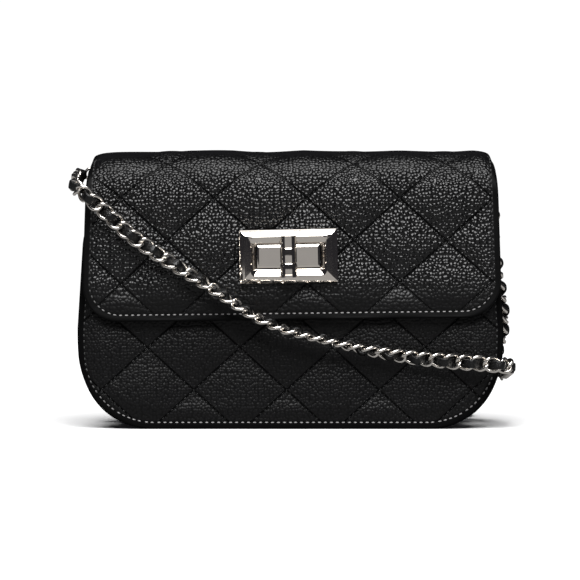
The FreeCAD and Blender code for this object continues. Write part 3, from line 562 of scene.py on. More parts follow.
LEATHER = leather("leather")
FLAP_LEATHER = leather("flap_leather", quilted=True)
BODY_LEATHER = leather("body_leather", cell=1.5, relief=0.20, roughness=0.38, gloss=0.2, quilted=True)
STRAP_LEATHER = leather("strap_leather", cell=0.9, relief=0.12, roughness=0.34)
POLISHED = chrome("polished_metal", (0.88, 0.82, 0.75), 0.07)
CHAIN_METAL = chrome("chain_metal", (0.80, 0.76, 0.71), 0.20)
STEEL = plain_steel()
LINING = cloth("lining", (0.010, 0.010, 0.011), (0.034, 0.033, 0.034))
TIE_CLOTH = cloth("tie_cloth", (0.015, 0.015, 0.016), (0.045, 0.044, 0.045))
EDGE_THREAD = thread("edge_thread", (0.02, 0.02, 0.02), (0.36, 0.35, 0.35))
QUILT_THREAD = thread("quilt_thread", (0.006, 0.006, 0.006), (0.016, 0.016, 0.016))


# ---------------------------------------------------------------- camera, floor and light
VIEW_WIDTH = 0.29  # what the picture takes in across, at the bag's front
VIEW_DISTANCE = 2.2
VIEW_ELEVATION = radians(2.0)
VIEW_TARGET = Vector((-0.00025, -0.02, 0.0700))
LIGHT_TARGET = Vector((0.0, 0.0, 0.07))
SUN_ELEVATION = 55.0


def make_camera():
    """A long lens, nearly level, in front of the bag."""
    data = bpy.data.cameras.new("camera")
    data.sensor_width = 36.0
    data.lens = data.sensor_width * VIEW_DISTANCE / VIEW_WIDTH
    data.clip_start, data.clip_end = 0.1, 50.0
    made = in_scene("camera", data)
    back = Vector((0.0, -cos(VIEW_ELEVATION), sin(VIEW_ELEVATION)))
    made.location = VIEW_TARGET + back * VIEW_DISTANCE
    made.rotation_euler = (-back).to_track_quat("-Z", "Y").to_euler()
    bpy.context.scene.camera = made


def make_floor():
    """A plain pale floor."""
    side = 1100.0
    corners = [(x, y, 0.0) for y in (-side, side) for x in (-side, side)]
    floor = new_piece("floor", corners, [(0, 1, 3, 2)], pale_floor())
    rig.stage(floor)


def area_light(name, place, size, power):
    """A soft rectangular light that faces the bag. Lengths in metres."""
    data = bpy.data.lights.new(name, "AREA")
    data.shape = "RECTANGLE"
    data.size, data.size_y = size
    data.energy = power
    made = in_scene(name, data)
    made.location = place
    made.rotation_euler = (LIGHT_TARGET - Vector(place)).to_track_quat("-Z", "Y").to_euler()


def make_light():
    """A broad light high in front, a card behind the camera, one above, and a white backdrop."""
    data = bpy.data.lights.new("key", "SUN")
    data.energy = 5.4
    data.angle = radians(46.0)
    made = in_scene("key", data)
    made.rotation_euler = (radians(90.0 - SUN_ELEVATION), 0.0, 0.0)
    area_light("front_card", (0.0, -2.7, 0.30), (1.9, 0.9), 1.75)
    area_light("top_card", (0.0, -0.1, 1.6), (0.7, 0.35), 1.2)
    world = bpy.data.worlds.new("studio")
    bpy.context.scene.world = world
    world.use_nodes = True
    room = world.node_tree.nodes["Background"]
    room.inputs["Color"].default_value = (0.022, 0.022, 0.026, 1.0)
    white = add(world, "Background", {"Color": (1.0, 1.0, 1.0, 1.0), "Strength": 1.05})
    seen_apart(world, room, white, "World Output")
    bpy.context.scene.view_settings.view_transform = "Standard"


make_camera()
make_floor()
make_light()

# ---------------------------------------------------------------- the strap
# The two open runs have the CAD model's points. Between them the strap is folded in two laps on the floor.
STRAP_WIDE = 8.6
STRAP_LIES = 5.2  # height of the centre line of the strap where it lies on the floor
LAP_RADIUS, LAP_HALF = 34.6, 45.0  # of the outer lap: its round ends, and how far from the middle they start
STRAP_FRONT = [
    (-105.0, 3.8, 128.6), (-106.6, -4.5, 126.6), (-107.8, -14.5, 124.4), (-107.8, -24.0, 121.8),
    (-102.0, -30.6, 118.0), (-91.5, -29.2, 108.9), (-80.8, -28.0, 98.4), (-70.2, -27.8, 91.0),
    (-58.2, -27.6, 83.0), (-43.8, -27.8, 74.3), (-30.2, -27.9, 65.2), (-18.4, -27.5, 57.2),
    (-4.9, -26.7, 51.0), (9.2, -25.2, 47.0), (24.2, -23.8, 43.0), (38.7, -22.6, 39.7),
    (55.0, -22.0, 37.0), (73.5, -22.1, 34.8), (90.0, -23.2, 33.6), (101.5, -26.2, 33.0),
    (109.8, -20.2, 32.0), (110.0, -9.0, 30.6), (109.6, 3.5, 29.2), (109.6, 17.0, 28.0),
    (109.8, 31.6, 26.6), (99.6, 41.6, 22.0), (88.5, 44.2, 13.5), (75.5, 46.8, 7.0),
    (63.5, 48.2, STRAP_LIES), (55.0, 48.6, STRAP_LIES),
]
STRAP_SIDE = [
    (64.0, 109.0, 6.5), (74.5, 107.5, 12.8), (86.0, 103.0, 12.6), (94.0, 94.5, 6.5),
    (93.0, 82.0, 5.0), (88.5, 70.0, 5.4), (90.5, 59.5, 11.0), (98.5, 52.5, 21.5),
    (105.5, 44.5, 33.0), (109.0, 36.0, 44.0), (109.2, 26.0, 55.0), (107.4, 18.0, 66.0),
    (105.6, 13.0, 77.5), (104.0, 9.6, 89.0), (102.2, 7.6, 101.0),
]
LINK_PITCH = 6.9
LINK_WIRE = 1.8
LINK_HALF = ((LINK_PITCH + LINK_WIRE) / 2, 3.4)  # of the wire's centre line, along and across
LINK_TWIST = radians(-45.0)
LACE_HALF = (2.15, 0.55)  # across and through
LACE_WAVE = 2.6
# how far the strap has turned over, in degrees, at distances along it: by half a turn across the front
STRAP_TURNS = ((68.0, 0.0), (95.0, 40.0), (120.0, 65.0), (160.0, 80.0), (190.0, 103.0), (222.0, 142.0),
               (245.0, 168.0), (266.0, 180.0))


def half_turn(centre, radius, start):
    """Control points of a clockwise half circle on the floor. Each is where two of its tangents meet."""
    reach = radius / cos(radians(15.0))
    angles = [radians(start - step) for step in range(15, 180, 30)]
    return [(centre[0] + reach * cos(a), centre[1] + reach * sin(a), STRAP_LIES) for a in angles]


def strap_route():
    """Every control point of the strap, in millimetres."""
    step = STRAP_WIDE / 2
    middle = box_mm("strap_hank")[0][1] + LAP_RADIUS + step
    laps = half_turn((-LAP_HALF, middle), LAP_RADIUS, 270)
    laps += half_turn((LAP_HALF + step, middle + step), LAP_RADIUS - step, 90)
    laps += half_turn((-LAP_HALF, middle), LAP_RADIUS - 2 * step, 270)
    return STRAP_FRONT + laps + STRAP_SIDE


def spline_points(route):
    """Points along the smooth line that a route controls, in millimetres."""
    data = bpy.data.curves.new("strap_route", "CURVE")
    data.dimensions = "3D"
    data.resolution_u = 16
    spline = data.splines.new("NURBS")
    spline.points.add(len(route) - 1)
    for point, place in zip(spline.points, route):
        point.co = (*(MM * part for part in place), 1.0)
    spline.order_u = 3
    spline.use_endpoint_u = True
    holder = in_scene("strap_route", data)
    line = bpy.data.meshes.new_from_object(holder.evaluated_get(bpy.context.evaluated_depsgraph_get()))
    points = np.array([vertex.co for vertex in line.vertices]) / MM
    bpy.data.meshes.remove(line)
    bpy.data.objects.remove(holder)
    return points


def strap_faces_out(points):
    """Which way the strap's face turns at each point: away from the bag, or up where it lies on the floor."""
    x, y, z = points.T
    side = np.sign(x) * smooth_step(abs(x), 92.0, 106.0)
    front = smooth_step(-y, 12.0, 24.0)
    floor = smooth_step(-z, -18.0, -9.0) * smooth_step(y, 20.0, 40.0)
    out = np.stack([side * (1 - floor), -front * (1 - floor), floor], axis=1)
    return unit(softened(out, 12) + 1e-6)


class Line:
    """The strap's centre line, with its three axes at any distance along it."""

    def __init__(self, points):
        self.points = resampled(points, 1.0)
        self.along = arc_lengths(self.points)
        self.length = self.along[-1]
        self.ahead = unit(np.gradient(self.points, axis=0))
        out = unit(softened(square_to(self.ahead, strap_faces_out(self.points)), 4))
        turn = np.radians(np.interp(self.along, *zip(*STRAP_TURNS)))[:, None]
        self.out = out * np.cos(turn) + np.cross(out, self.ahead) * np.sin(turn)

    def at(self, distance, values):
        return np.stack([np.interp(distance, self.along, values[:, n]) for n in range(3)], axis=-1)

    def places(self, distances):
        """Axes and position for each distance: ahead, across, out, position."""
        spot = self.at(distances, self.points)
        reach = LINK_PITCH / 2
        ahead = unit(self.at(distances + reach, self.points) - self.at(distances - reach, self.points))
        out = square_to(ahead, self.at(distances, self.out))
        return np.stack([ahead, np.cross(out, ahead), out, spot], axis=1)


def ring_mesh(centre_line, wire, sides=8):
    """A closed wire ring round a centre line."""
    ahead = unit(np.roll(centre_line, -1, 0) - np.roll(centre_line, 1, 0))
    out = square_to(ahead, unit(centre_line))
    across = np.cross(ahead, out)
    angles = np.arange(sides) * tau / sides
    ring = np.cos(angles)[None, :, None] * out[:, None] + np.sin(angles)[None, :, None] * across[:, None]
    points = centre_line[:, None] + ring * wire / 2
    faces = grid_faces(len(centre_line), sides, closed_rows=True, closed_columns=True)
    return points.reshape(-1, 3), [face[::-1] for face in faces]


def curb_link(count=30):
    """One oval link of a curb chain, twisted so that it lies flat with its neighbours."""
    angles = np.arange(count) * tau / count
    half_long, half_wide = LINK_HALF
    ahead = half_long * blunted(np.cos(angles), 0.85)
    across = half_wide * blunted(np.sin(angles), 0.85)
    twist = LINK_TWIST * ahead / half_long
    return ring_mesh(np.stack([ahead, across * np.cos(twist), across * np.sin(twist)], axis=1), LINK_WIRE)


def strap_chain(line):
    """The links, each placed on the centre line."""
    count = int((line.length - LINK_PITCH) / LINK_PITCH)
    start = (line.length - (count - 1) * LINK_PITCH) / 2
    template, faces = curb_link()
    points, every = copies(template, faces, line.places(start + np.arange(count) * LINK_PITCH))
    return new_piece("strap_chain", points, every, CHAIN_METAL), start


def band(name, centre, across, half_wide, half_thick, made_of, sides=12):
    """A flat band with rounded edges along a centre line. across is the direction of its width."""
    face = unit(np.cross(unit(np.gradient(centre, axis=0)), across))
    angles = np.arange(sides) * tau / sides
    wide = half_wide * blunted(np.cos(angles), 0.6)
    thick = half_thick * blunted(np.sin(angles), 0.6)
    section = wide[None, :, None] * across[:, None] + thick[None, :, None] * face[:, None]
    points = (centre[:, None] + section).reshape(-1, 3)
    flat = np.stack(np.broadcast_arrays(arc_lengths(centre)[:, None], wide[None, :]), axis=-1)
    return new_piece(name, points, tube_faces(len(centre), sides), made_of, pattern=flat)


def strap_lace(line, start):
    """The leather lace, which goes over one meeting of two links and under the next."""
    along = np.arange(0.5, line.length - 0.5, 0.46)
    wave = LACE_WAVE * np.sin(pi * (along - start) / LINK_PITCH)
    places = line.places(along)
    centre = places[:, 3] + places[:, 2] * wave[:, None]
    return band("strap_lace", centre, places[:, 1], *LACE_HALF, STRAP_LEATHER)


def strap_tie(thick=0.5, flare=0.15, sides=48):
    """The cloth band round the middle of the folded strap."""
    low, high = box_mm("strap_tie")
    half, middle = (high - low) / 2, (high + low) / 2
    angles = np.arange(sides) * tau / sides
    outer = [(-half[0], flare), (-0.9 * half[0], 0.0), (0.9 * half[0], 0.0), (half[0], flare)]
    loops = outer + [(x, inset + thick) for x, inset in outer[::-1]]
    points = []
    for x, inset in loops:
        y = middle[1] + (half[1] - inset) * blunted(np.cos(angles), 0.16)
        z = middle[2] + (half[2] - inset) * blunted(np.sin(angles), 0.4)
        points.append(np.stack([np.full(sides, x), y, z], axis=1))
    faces = grid_faces(len(loops), sides, closed_rows=True, closed_columns=True)
    return new_piece("strap_tie_band", np.concatenate(points), faces, TIE_CLOTH)


def make_strap():
    """The whole strap, declared as one cord between the two D rings' links."""
    route = strap_route()
    line = Line(spline_points(route))
    chain, start = strap_chain(line)
    lace = strap_lace(line, start)
    tie = strap_tie()
    belongs(chain, "bag", "chain_metal", "strap_front", "strap_side", "strap_hank")
    belongs(lace, "bag", "strap")
    belongs(tie, "bag", "tie_band", "strap_tie")
    rings = [NODES["strap_link_left"], NODES["strap_link_right"]]
    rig.cord(
        chain,
        exit=tuple(MM * part for part in route[0]),
        length=round(line.length * MM, 3),
        diameter=STRAP_WIDE * MM,
        far_end="object",
        stiffness="limp",
        lay="loose",
        path=(line.points * MM).tolist(),
        with_pieces=[lace, tie] + rings,
    )


make_strap()

# ---------------------------------------------------------------- padded leather
LEATHER_THICK = 1.2
WALL = 4.1  # leather, padding and board together
WALL_CROWN = 1.3  # how far a wall's padding rises from its rim
SEAM_INSET = 3.3
LINING_INSET = 6.0
TOP_CORNER = 6.0  # radius of each pattern's top corners
LEATHER_STEP, LINING_STEP = 1.3, 3.0  # between the points of their meshes
RIM_STEPS = np.array([0.3, 0.7, 1.1])  # extra rows and columns inside the rim, for its round edge
SHORTEST_LINE = 8  # a quilting line with no more points than this is left out


def side_trim(low, high, corners, v):
    """How much the rounded corners take off each side at a height."""
    total = 0.0
    for depth, radius in ((v - low, corners[0]), (high - v, corners[1])):
        inside = np.clip(radius - depth, 0.0, radius)
        total = total + radius - np.sqrt(radius**2 - inside**2)
    return total


class Skin:
    """A leather skin over padding. x runs across its flat pattern and v up it.

    sides gives half the width with the corners ignored, and corners the radii at the bottom and the top.
    place gives where a point of the pattern lies in space, with its outward direction. quilt is a crossing
    of the seams, and deep how far the seams lie below the crowns.
    """

    def __init__(self, low, high, sides, corners, place, quilt, deep=2.2):
        self.low, self.high, self.sides, self.corners = low, high, sides, corners
        self.place, self.quilt, self.deep = place, quilt, deep

    def half(self, v):
        """Half the width at a height, with the corners rounded."""
        return self.sides(v) - side_trim(self.low, self.high, self.corners, v)

    def cut(self, inset):
        """A lining cut to the pattern less an inset all round: its (width, length) and area, in metres."""
        v = np.linspace(self.low + inset, self.high - inset, 300)
        wide = 2 * (self.half(v) - inset) * MM
        length = float(v[-1] - v[0]) * MM
        return {"flat": (float(wide.max()), length), "area": float(wide.mean()) * length}

    def edge(self, x, v):
        """How far a point is inside the outline."""
        side, below, above = self.sides(v) - abs(x), v - self.low, self.high - v
        inside = np.minimum(np.minimum(side, below), above)
        for end, radius in ((below, self.corners[0]), (above, self.corners[1])):
            corner = (side < radius) & (end < radius)
            inside = np.where(corner, radius - np.hypot(radius - side, radius - end), inside)
        return np.maximum(inside, 0.0)

    def seams(self, x, v):
        """Which seam of each slanting family a point is on, as two numbers that are whole on the seams."""
        across, up = (x - self.quilt[0]) / QUILT[0], (v - self.quilt[1]) / QUILT[1]
        return across + up, across - up

    def pebble(self, x, v):
        """How strongly the grain shows: not at all on the turned edge outside the edge seam."""
        return smooth_step(self.edge(x, v), SEAM_INSET - 0.4, SEAM_INSET + 1.2)

    def padding_end(self, inside):
        """How far the padding has thinned towards the rim."""
        return WALL_CROWN * (1.0 - smooth_step(inside, 3.0, 12.0))

    def rolled(self, inside):
        """How far the turned edge falls away at the rim."""
        rim = LEATHER_THICK - np.minimum(inside, LEATHER_THICK)
        return LEATHER_THICK - np.sqrt(LEATHER_THICK**2 - rim**2)

    def depth(self, x, v):
        """How far the face lies below the crowns of the quilting."""
        inside = self.edge(x, v)
        first, second = self.seams(x, v)
        swell = abs(np.sin(pi * first) * np.sin(pi * second))
        quilting = self.deep * (1.0 - swell**0.9) * (0.25 + 0.75 * smooth_step(inside, 3.0, 16.0))
        for family in (first, second):
            off = abs(family - np.round(family)) * QUILT_APART
            quilting = quilting + 0.12 * np.exp(-((off / 0.8) ** 2)) * smooth_step(inside, 3.0, 4.0)
        quilting = quilting * smooth_step(inside, 0.0, 2.0)
        edge_seam = 0.3 * np.exp(-(((inside - SEAM_INSET) / 0.6) ** 2))
        sag = 0.35 * (1.0 + waves(x, v, 70.0, 4)) * smooth_step(inside, 0.0, 20.0)
        return self.padding_end(inside) + self.rolled(inside) + edge_seam + quilting + sag

    def back(self, x, v):
        """How deep the wall's other side is: one leather thick at the rim, and the full wall inside it."""
        inside = self.edge(x, v)
        rim = self.padding_end(inside) + LEATHER_THICK
        return rim + (WALL - rim) * smooth_step(inside, 4.5, 8.0)

    def rows(self, step):
        """Heights of the pattern's rows, closer together at the corners and the rim."""
        below, above = self.corners
        ends = []
        for corner in self.corners:
            count = max(5, round(corner * 1.57 / step))
            ends.append(corner * (1.0 - np.cos(np.linspace(0.0, pi / 2, count + 1))))
        straight = np.arange(self.low + below + step, self.high - above - step * 0.6, step)
        rows = [self.low + ends[0], self.low + RIM_STEPS, straight, self.high - ends[1]]
        return np.unique(np.concatenate(rows).round(3))

    def columns(self, step, widest):
        """Shares of the half width, closer together at the sides."""
        count = round(2 * widest / step)
        even = np.linspace(-1.0, 1.0, count + 1)
        rim = 1.0 - RIM_STEPS / widest
        return np.unique(np.concatenate([even, rim, -rim]).round(6))

    def grid(self, step):
        """The pattern's points as a grid: every x, every v."""
        v = self.rows(step)[:, None]
        share = self.columns(step, float(self.sides(np.array(self.low))))[None, :]
        x = share * np.maximum(self.half(v), 0.5)
        return x, np.broadcast_to(v, x.shape)

    def point(self, x, v, depth):
        """Where points of the pattern lie in space at a depth below the crowns."""
        base, out = self.place(x, v)
        return base - out * np.asarray(depth)[..., None]

    def shell(self, name, step, made_of, front=None, back=None, inset=0.0):
        """A closed piece between two depths."""
        x, v = self.grid(step)
        x = x * (1.0 - inset / np.maximum(abs(x).max(axis=1, keepdims=True), 1.0))
        v = self.low + inset + (v - self.low) * (self.high - self.low - 2 * inset) / (self.high - self.low)
        near = self.point(x, v, (front or self.depth)(x, v))
        far = self.point(x, v, (back or self.back)(x, v))
        flat = np.stack([x - self.quilt[0], v - self.quilt[1]], axis=-1).reshape(-1, 2)
        points = np.concatenate([near.reshape(-1, 3), far.reshape(-1, 3)])
        pebble = np.tile(self.pebble(x, v).ravel(), 2)
        faces = shell_faces(*x.shape)
        return new_piece(name, points, faces, made_of, pattern=np.tile(flat, (2, 1)), pebble=pebble)

    def edge_line(self, inset, sides_from, step=0.5):
        """A line inside the outline, down one side, along the bottom and up the other, as (x, v)."""
        radius = self.corners[0]
        v = np.arange(self.low + radius, sides_from, step)
        side = np.stack([self.sides(v) - inset, v], axis=1)
        turn = np.linspace(0.0, pi / 2, 60)[1:]
        centre = float(self.sides(np.array(self.low + radius))) - radius
        reach = radius - inset
        corner = np.stack([centre + reach * np.cos(turn), self.low + radius - reach * np.sin(turn)], axis=1)
        x = np.arange(centre - step, 0.0, -step)
        bottom = np.stack([x, np.full_like(x, self.low + inset)], axis=1)
        right = np.concatenate([side[::-1], corner, bottom])
        return np.concatenate([right, (right * (-1, 1))[::-1]])

    def seam_lines(self, widest):
        """The quilting's lines, as a list of (x, v) runs inside the edge seam."""
        lines = []
        x = np.arange(-widest, widest, 0.5)
        for way in (1, -1):
            for number in range(-12, 13):
                v = self.quilt[1] + QUILT[1] * (number - way * (x - self.quilt[0]) / QUILT[0])
                kept = (v > self.low) & (v < self.high)
                kept &= self.edge(x, np.clip(v, self.low, self.high)) > SEAM_INSET + 0.6
                if kept.sum() > SHORTEST_LINE:
                    lines.append(np.stack([x[kept], v[kept]], axis=1))
        return lines

    def frames(self, line, lift):
        """Axes and positions on the face along a line of the pattern: ahead, across, out, position."""
        x, v = line.T
        spot = self.point(x, v, self.depth(x, v) - lift)
        out = unit(self.place(x, v)[1])
        ahead = unit(np.gradient(spot, axis=0))
        across = unit(np.cross(out, ahead))
        return np.stack([ahead, across, np.cross(ahead, across), spot], axis=1)


def stitch_shape(long, thick):
    """One stitch: a short round thread whose ends dive into the leather."""
    sides, along = 6, np.linspace(-1.0, 1.0, 6)
    angles = np.arange(sides) * tau / sides
    points = []
    for share in along:
        radius = thick * max(0.35, 1.0 - abs(share) ** 3)
        drop = -thick * 1.3 * share**4
        points += [(share * long / 2, radius * cos(a), drop + radius * sin(a)) for a in angles]
    return np.array(points), tube_faces(len(along), sides)


def stitched(name, skin, lines, made_of, pitch=3.0, long=1.9, thick=0.34, lift=0.16):
    """Stitches along lines of a skin's pattern, as one piece. The upright runs are painted darker, as shade, and the
    level runs paler, as painted light from above.
    """
    places = []
    for line in lines:
        every = skin.frames(line, lift)
        along = arc_lengths(every[:, 3])
        count = int(along[-1] // pitch)
        spots = (along[-1] - (count - 1) * pitch) / 2 + np.arange(count) * pitch
        places.append(every[np.searchsorted(along, spots).clip(0, len(along) - 1)])
    places = np.concatenate(places)
    shape, shape_faces = stitch_shape(long, thick)
    points, faces = copies(shape, shape_faces, places)
    made = new_piece(name, points, faces, made_of)
    # painted light: pale on level stitches, which the light from above catches, and dark on upright ones, as painted
    # shade
    point_values(made.data, "painted_light", np.repeat(places[:, 0, 0] ** 2, len(shape)))
    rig.slot(made, "thread")
    return made


def flat_wall(face, way):
    """Places a pattern in an upright plane that faces -Y (way -1) or +Y (way 1)."""

    def place(x, v):
        base = np.stack([x, np.full_like(x, face), v], axis=-1)
        return base, np.broadcast_to(np.array([0.0, float(way), 0.0]), base.shape)

    return place


PANEL_HALF = box_mm("front_panel_outer")[1][0]
PANEL_CORNER = 38.0
PANEL_LEAN = 0.062  # how far each side leans in, per unit of height
SIDE_BULGE = 2.6
WINDOW_HALF, WINDOW_LOW, WINDOW_HIGH = 7.3, 79.5, 99.0  # the front's hole for the lock's keeper


def side_bulge(v):
    """How far the front's full sides swell past their straight line, between two heights."""
    return SIDE_BULGE * smooth_step(v, 20.0, 52.0) * (1.0 - smooth_step(v, 92.0, 112.0))


def panel_skin(node, way, quilt):
    """The skin of the front (way -1) or the back (way 1)."""
    low, high = box_mm(node)
    face = low[1] if way < 0 else high[1]

    def sides(v):
        straight = PANEL_HALF - PANEL_LEAN * (np.asarray(v, float) - PANEL_CORNER)
        return straight + (way < 0) * side_bulge(v)

    return Skin(0.0, high[2], sides, (PANEL_CORNER, TOP_CORNER), flat_wall(face, way), quilt, deep=1.2)


# ---------------------------------------------------------------- the flap
FLAP_LOW, FLAP_HIGH = box_mm("flap_outer")
FLAP_TOP_HALF, FLAP_END_HALF = 101.8, 98.0  # half the width at the top's front, and at the back's seam
FLAP_CORNER = 19.0
FLAP_BEND = 20.0  # radius where the flap turns from the front to the top
FLAP_FOLD = 6.0  # radius where the flap's leather turns down on to the back
FLAP_TAIL = 11.0  # what is sewn flat on the back
FLAP_SHIFT = 0.7  # the soft flap lies this far to the right
FLAP_CROSSING = (8.2, 116.0)  # X and Z of one crossing of the flap's seams
# how far before the pattern's end the padding starts to thin and is gone, and where the stitches stop
PADDING_THINS, PADDING_ENDS, QUILTING_ENDS, EDGE_STITCHES_END = 26.0, 16.0, 22.0, 30.0
# lengths along the flap's pattern: up the front, to the end of the bend, and across the top
FLAP_FRONT = FLAP_HIGH[2] - FLAP_BEND - FLAP_LOW[2]
FLAP_OVER = FLAP_FRONT + FLAP_BEND * pi / 2
FLAP_ACROSS = box_mm("back_panel_outer")[1][1] + LEATHER_THICK - FLAP_FOLD - (FLAP_LOW[1] + FLAP_BEND)


def swept(start, runs, step=0.1):
    """A line in the YZ plane from straight and round runs: (length, turn in degrees). It starts upwards."""
    heading, headings = pi / 2, []
    for length, turn in runs:
        count = max(1, round(length / step))
        headings.append(heading + radians(turn) * (np.arange(count) + 0.5) / count)
        heading += radians(turn)
    headings = np.concatenate(headings)
    y = start[0] + np.concatenate([[0.0], np.cumsum(np.cos(headings) * step)])
    z = start[1] + np.concatenate([[0.0], np.cumsum(np.sin(headings) * step)])
    headings = np.concatenate([headings, headings[-1:]])
    return np.arange(len(y)) * step, y, z, headings


class FlapSkin(Skin):
    """The flap's skin, from its low front edge over the top and down to the seam on the bag's back."""

    def bare(self, v):
        """1 on the tail behind the top, which is leather alone, and 0 on the padded flap."""
        return smooth_step(v, self.high - PADDING_THINS, self.high - PADDING_ENDS)

    def pebble(self, x, v):
        """The grain is pulled flatter over the top bend and towards the low edge. Since the base colour follows the
        grain, the face is also painted darker there: painted shade towards the low edge and over the bend.
        """
        pulled = 1.0 - 0.3 * smooth_step(v, FLAP_FRONT + 2.0, FLAP_FRONT + 16.0)
        return super().pebble(x, v) * pulled * (0.35 + 0.65 * smooth_step(v, 2.0, 26.0))

    def depth(self, x, v):
        bare = self.bare(v)
        return super().depth(x, v) * (1 - bare) + self.rolled(self.edge(x, v)) * bare

    def back(self, x, v):
        bare = self.bare(v)
        return super().back(x, v) * (1 - bare) + (LEATHER_THICK - HAIR) * bare


def flap_droop(x, v, length):
    """How far the soft flap's top falls towards its ends, and most of all at its corners."""
    end = np.clip((abs(x) - 62.0) / 39.5, 0.0, 1.05)
    left = 2.0 * smooth_step(-x, 60.0, 96.0) + 5.5 * end**14
    droop = np.where(x < 0, left, 5.5 * end**18)
    rise = smooth_step(v, FLAP_FRONT - 10.0, FLAP_OVER)
    return droop * rise * (1.0 - 0.75 * smooth_step(v, FLAP_OVER, length))


def flap_skin():
    """The flap's pattern, laid along its line in the YZ plane."""
    quarter = pi / 2
    runs = ((FLAP_FRONT, 0.0), (FLAP_BEND * quarter, -90.0), (FLAP_ACROSS, 0.0),
            (FLAP_FOLD * quarter, -90.0), (FLAP_TAIL, 0.0))
    along, y_line, z_line, headings = swept(FLAP_LOW[1:], runs)
    length = along[-1]

    def place(x, v):
        y, z, heading = (np.interp(v, along, values) for values in (y_line, z_line, headings))
        out = np.stack([np.zeros_like(y), -np.sin(heading), np.cos(heading)], axis=-1)
        hem = 0.012 * x * (1.0 - smooth_step(v, 0.0, 40.0))
        ripple = 0.5 * waves(x, 0.0 * x, 60.0, 9) * smooth_step(v, FLAP_FRONT, FLAP_OVER)
        return np.stack([x + FLAP_SHIFT, y, z - flap_droop(x, v, length) + hem - abs(ripple)], axis=-1), out

    def sides(v):
        v = np.asarray(v, float)
        share = np.clip(v / (FLAP_HIGH[2] - FLAP_LOW[2]), 0.0, 1.0)
        wide = FLAP_HIGH[0] + 0.7 - (FLAP_HIGH[0] - FLAP_TOP_HALF) * share
        return wide - (FLAP_TOP_HALF - FLAP_END_HALF) * smooth_step(v, FLAP_OVER + FLAP_ACROSS * 0.6, length)

    crossing = (FLAP_CROSSING[0] - FLAP_SHIFT, FLAP_CROSSING[1] - FLAP_LOW[2])
    return FlapSkin(0.0, length, sides, (FLAP_CORNER, TOP_CORNER), place, crossing)


def cut_window(piece, low, high):
    """Cuts a box-shaped window through a piece."""
    size, middle = (high - low) * MM, (high + low) * MM / 2
    mesh = bpy.data.meshes.new("cutter")
    cutter = bmesh.new()
    bmesh.ops.create_cube(cutter, size=1.0, matrix=Matrix.LocRotScale(middle, None, size))
    cutter.to_mesh(mesh)
    cutter.free()
    tool = in_scene("cutter", mesh)
    cut = piece.modifiers.new("window", "BOOLEAN")
    cut.operation, cut.object, cut.solver = "DIFFERENCE", tool, "EXACT"
    shape = bpy.data.meshes.new_from_object(piece.evaluated_get(bpy.context.evaluated_depsgraph_get()))
    piece.modifiers.clear()
    piece.data = shape
    bpy.data.objects.remove(tool)


def quilted_wall(side, skin, made_of, lines, edge_top, lining_front, lining_back):
    """A wall's quilted leather, its lining, and the stitches of its quilting and its edge."""
    wall = skin.shell(f"{side}_leather", LEATHER_STEP, made_of)
    name = f"{side}_lining_cloth"
    lining = skin.shell(name, LINING_STEP, LINING, lining_front, lining_back, LINING_INSET)
    seams = stitched(f"{side}_quilting_stitches", skin, lines, QUILT_THREAD, thick=0.17, lift=-0.05)
    edge = stitched(f"{side}_edge_stitches", skin, [skin.edge_line(SEAM_INSET, edge_top)], EDGE_THREAD)
    outer = "flap_outer" if side == "flap" else f"{side}_panel_outer"
    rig.slot(wall, "leather")
    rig.slot(lining, "lining")
    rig.replaces(wall, outer, f"{side}_padding", f"{side}_board")
    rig.replaces(lining, f"{side}_lining")
    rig.padded(wall, fill=0.5)
    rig.sheet(lining, held="stretched", rests_on=[wall], **skin.cut(LINING_INSET))
    return wall, lining, seams, edge


def make_panels():
    """The quilted front and back. The front has a window for the lock's keeper."""
    keeper_low, keeper_high = box_mm("keeper_plate")
    middle = (keeper_low[0] + keeper_high[0]) / 2
    for side, way, quilt in (("front", -1, (-2.0, 19.6)), ("back", 1, (3.0, 16.0))):
        skin = panel_skin(f"{side}_panel_outer", way, quilt)
        pieces = quilted_wall(
            side,
            skin,
            BODY_LEATHER,
            skin.seam_lines(widest=PANEL_HALF + 1),
            skin.high - 8.0,
            lambda x, v: WALL + 0.05 + 0 * x,
            lambda x, v: WALL + 0.4 + 0.12 * waves(x, v, 30.0, 7),
        )
        for piece in pieces:
            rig.ride(piece, "bag")
        if side == "front":
            low = Vector((middle - WINDOW_HALF, -30.0, WINDOW_LOW))
            high = Vector((middle + WINDOW_HALF, 0.0, WINDOW_HIGH))
            for piece in pieces[:2]:
                cut_window(piece, low, high)


def make_flap():
    """The flap's quilted leather, which folds over the hinge line and is sewn to the back."""
    skin = flap_skin()
    lines = [line[line[:, 1] < skin.high - QUILTING_ENDS] for line in skin.seam_lines(widest=106.0)]
    lines = [line for line in lines if len(line) > SHORTEST_LINE]
    pieces = quilted_wall(
        "flap",
        skin,
        FLAP_LEATHER,
        lines,
        skin.high - EDGE_STITCHES_END,
        lambda x, v: WALL - 0.6 + 0 * x,
        lambda x, v: WALL + 0.2 + 0 * x,
    )
    for piece in pieces:
        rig.blend(piece, "bag", "flap", start=(0.0, 0.0320, 0.137), end=(0.0, 0.0235, 0.137))


# ---------------------------------------------------------------- gusset and tabs
GUSSET_LEATHER, GUSSET_LINING = (4.6, 5.9), (6.0, 6.4)  # how far inside the outline two faces lie


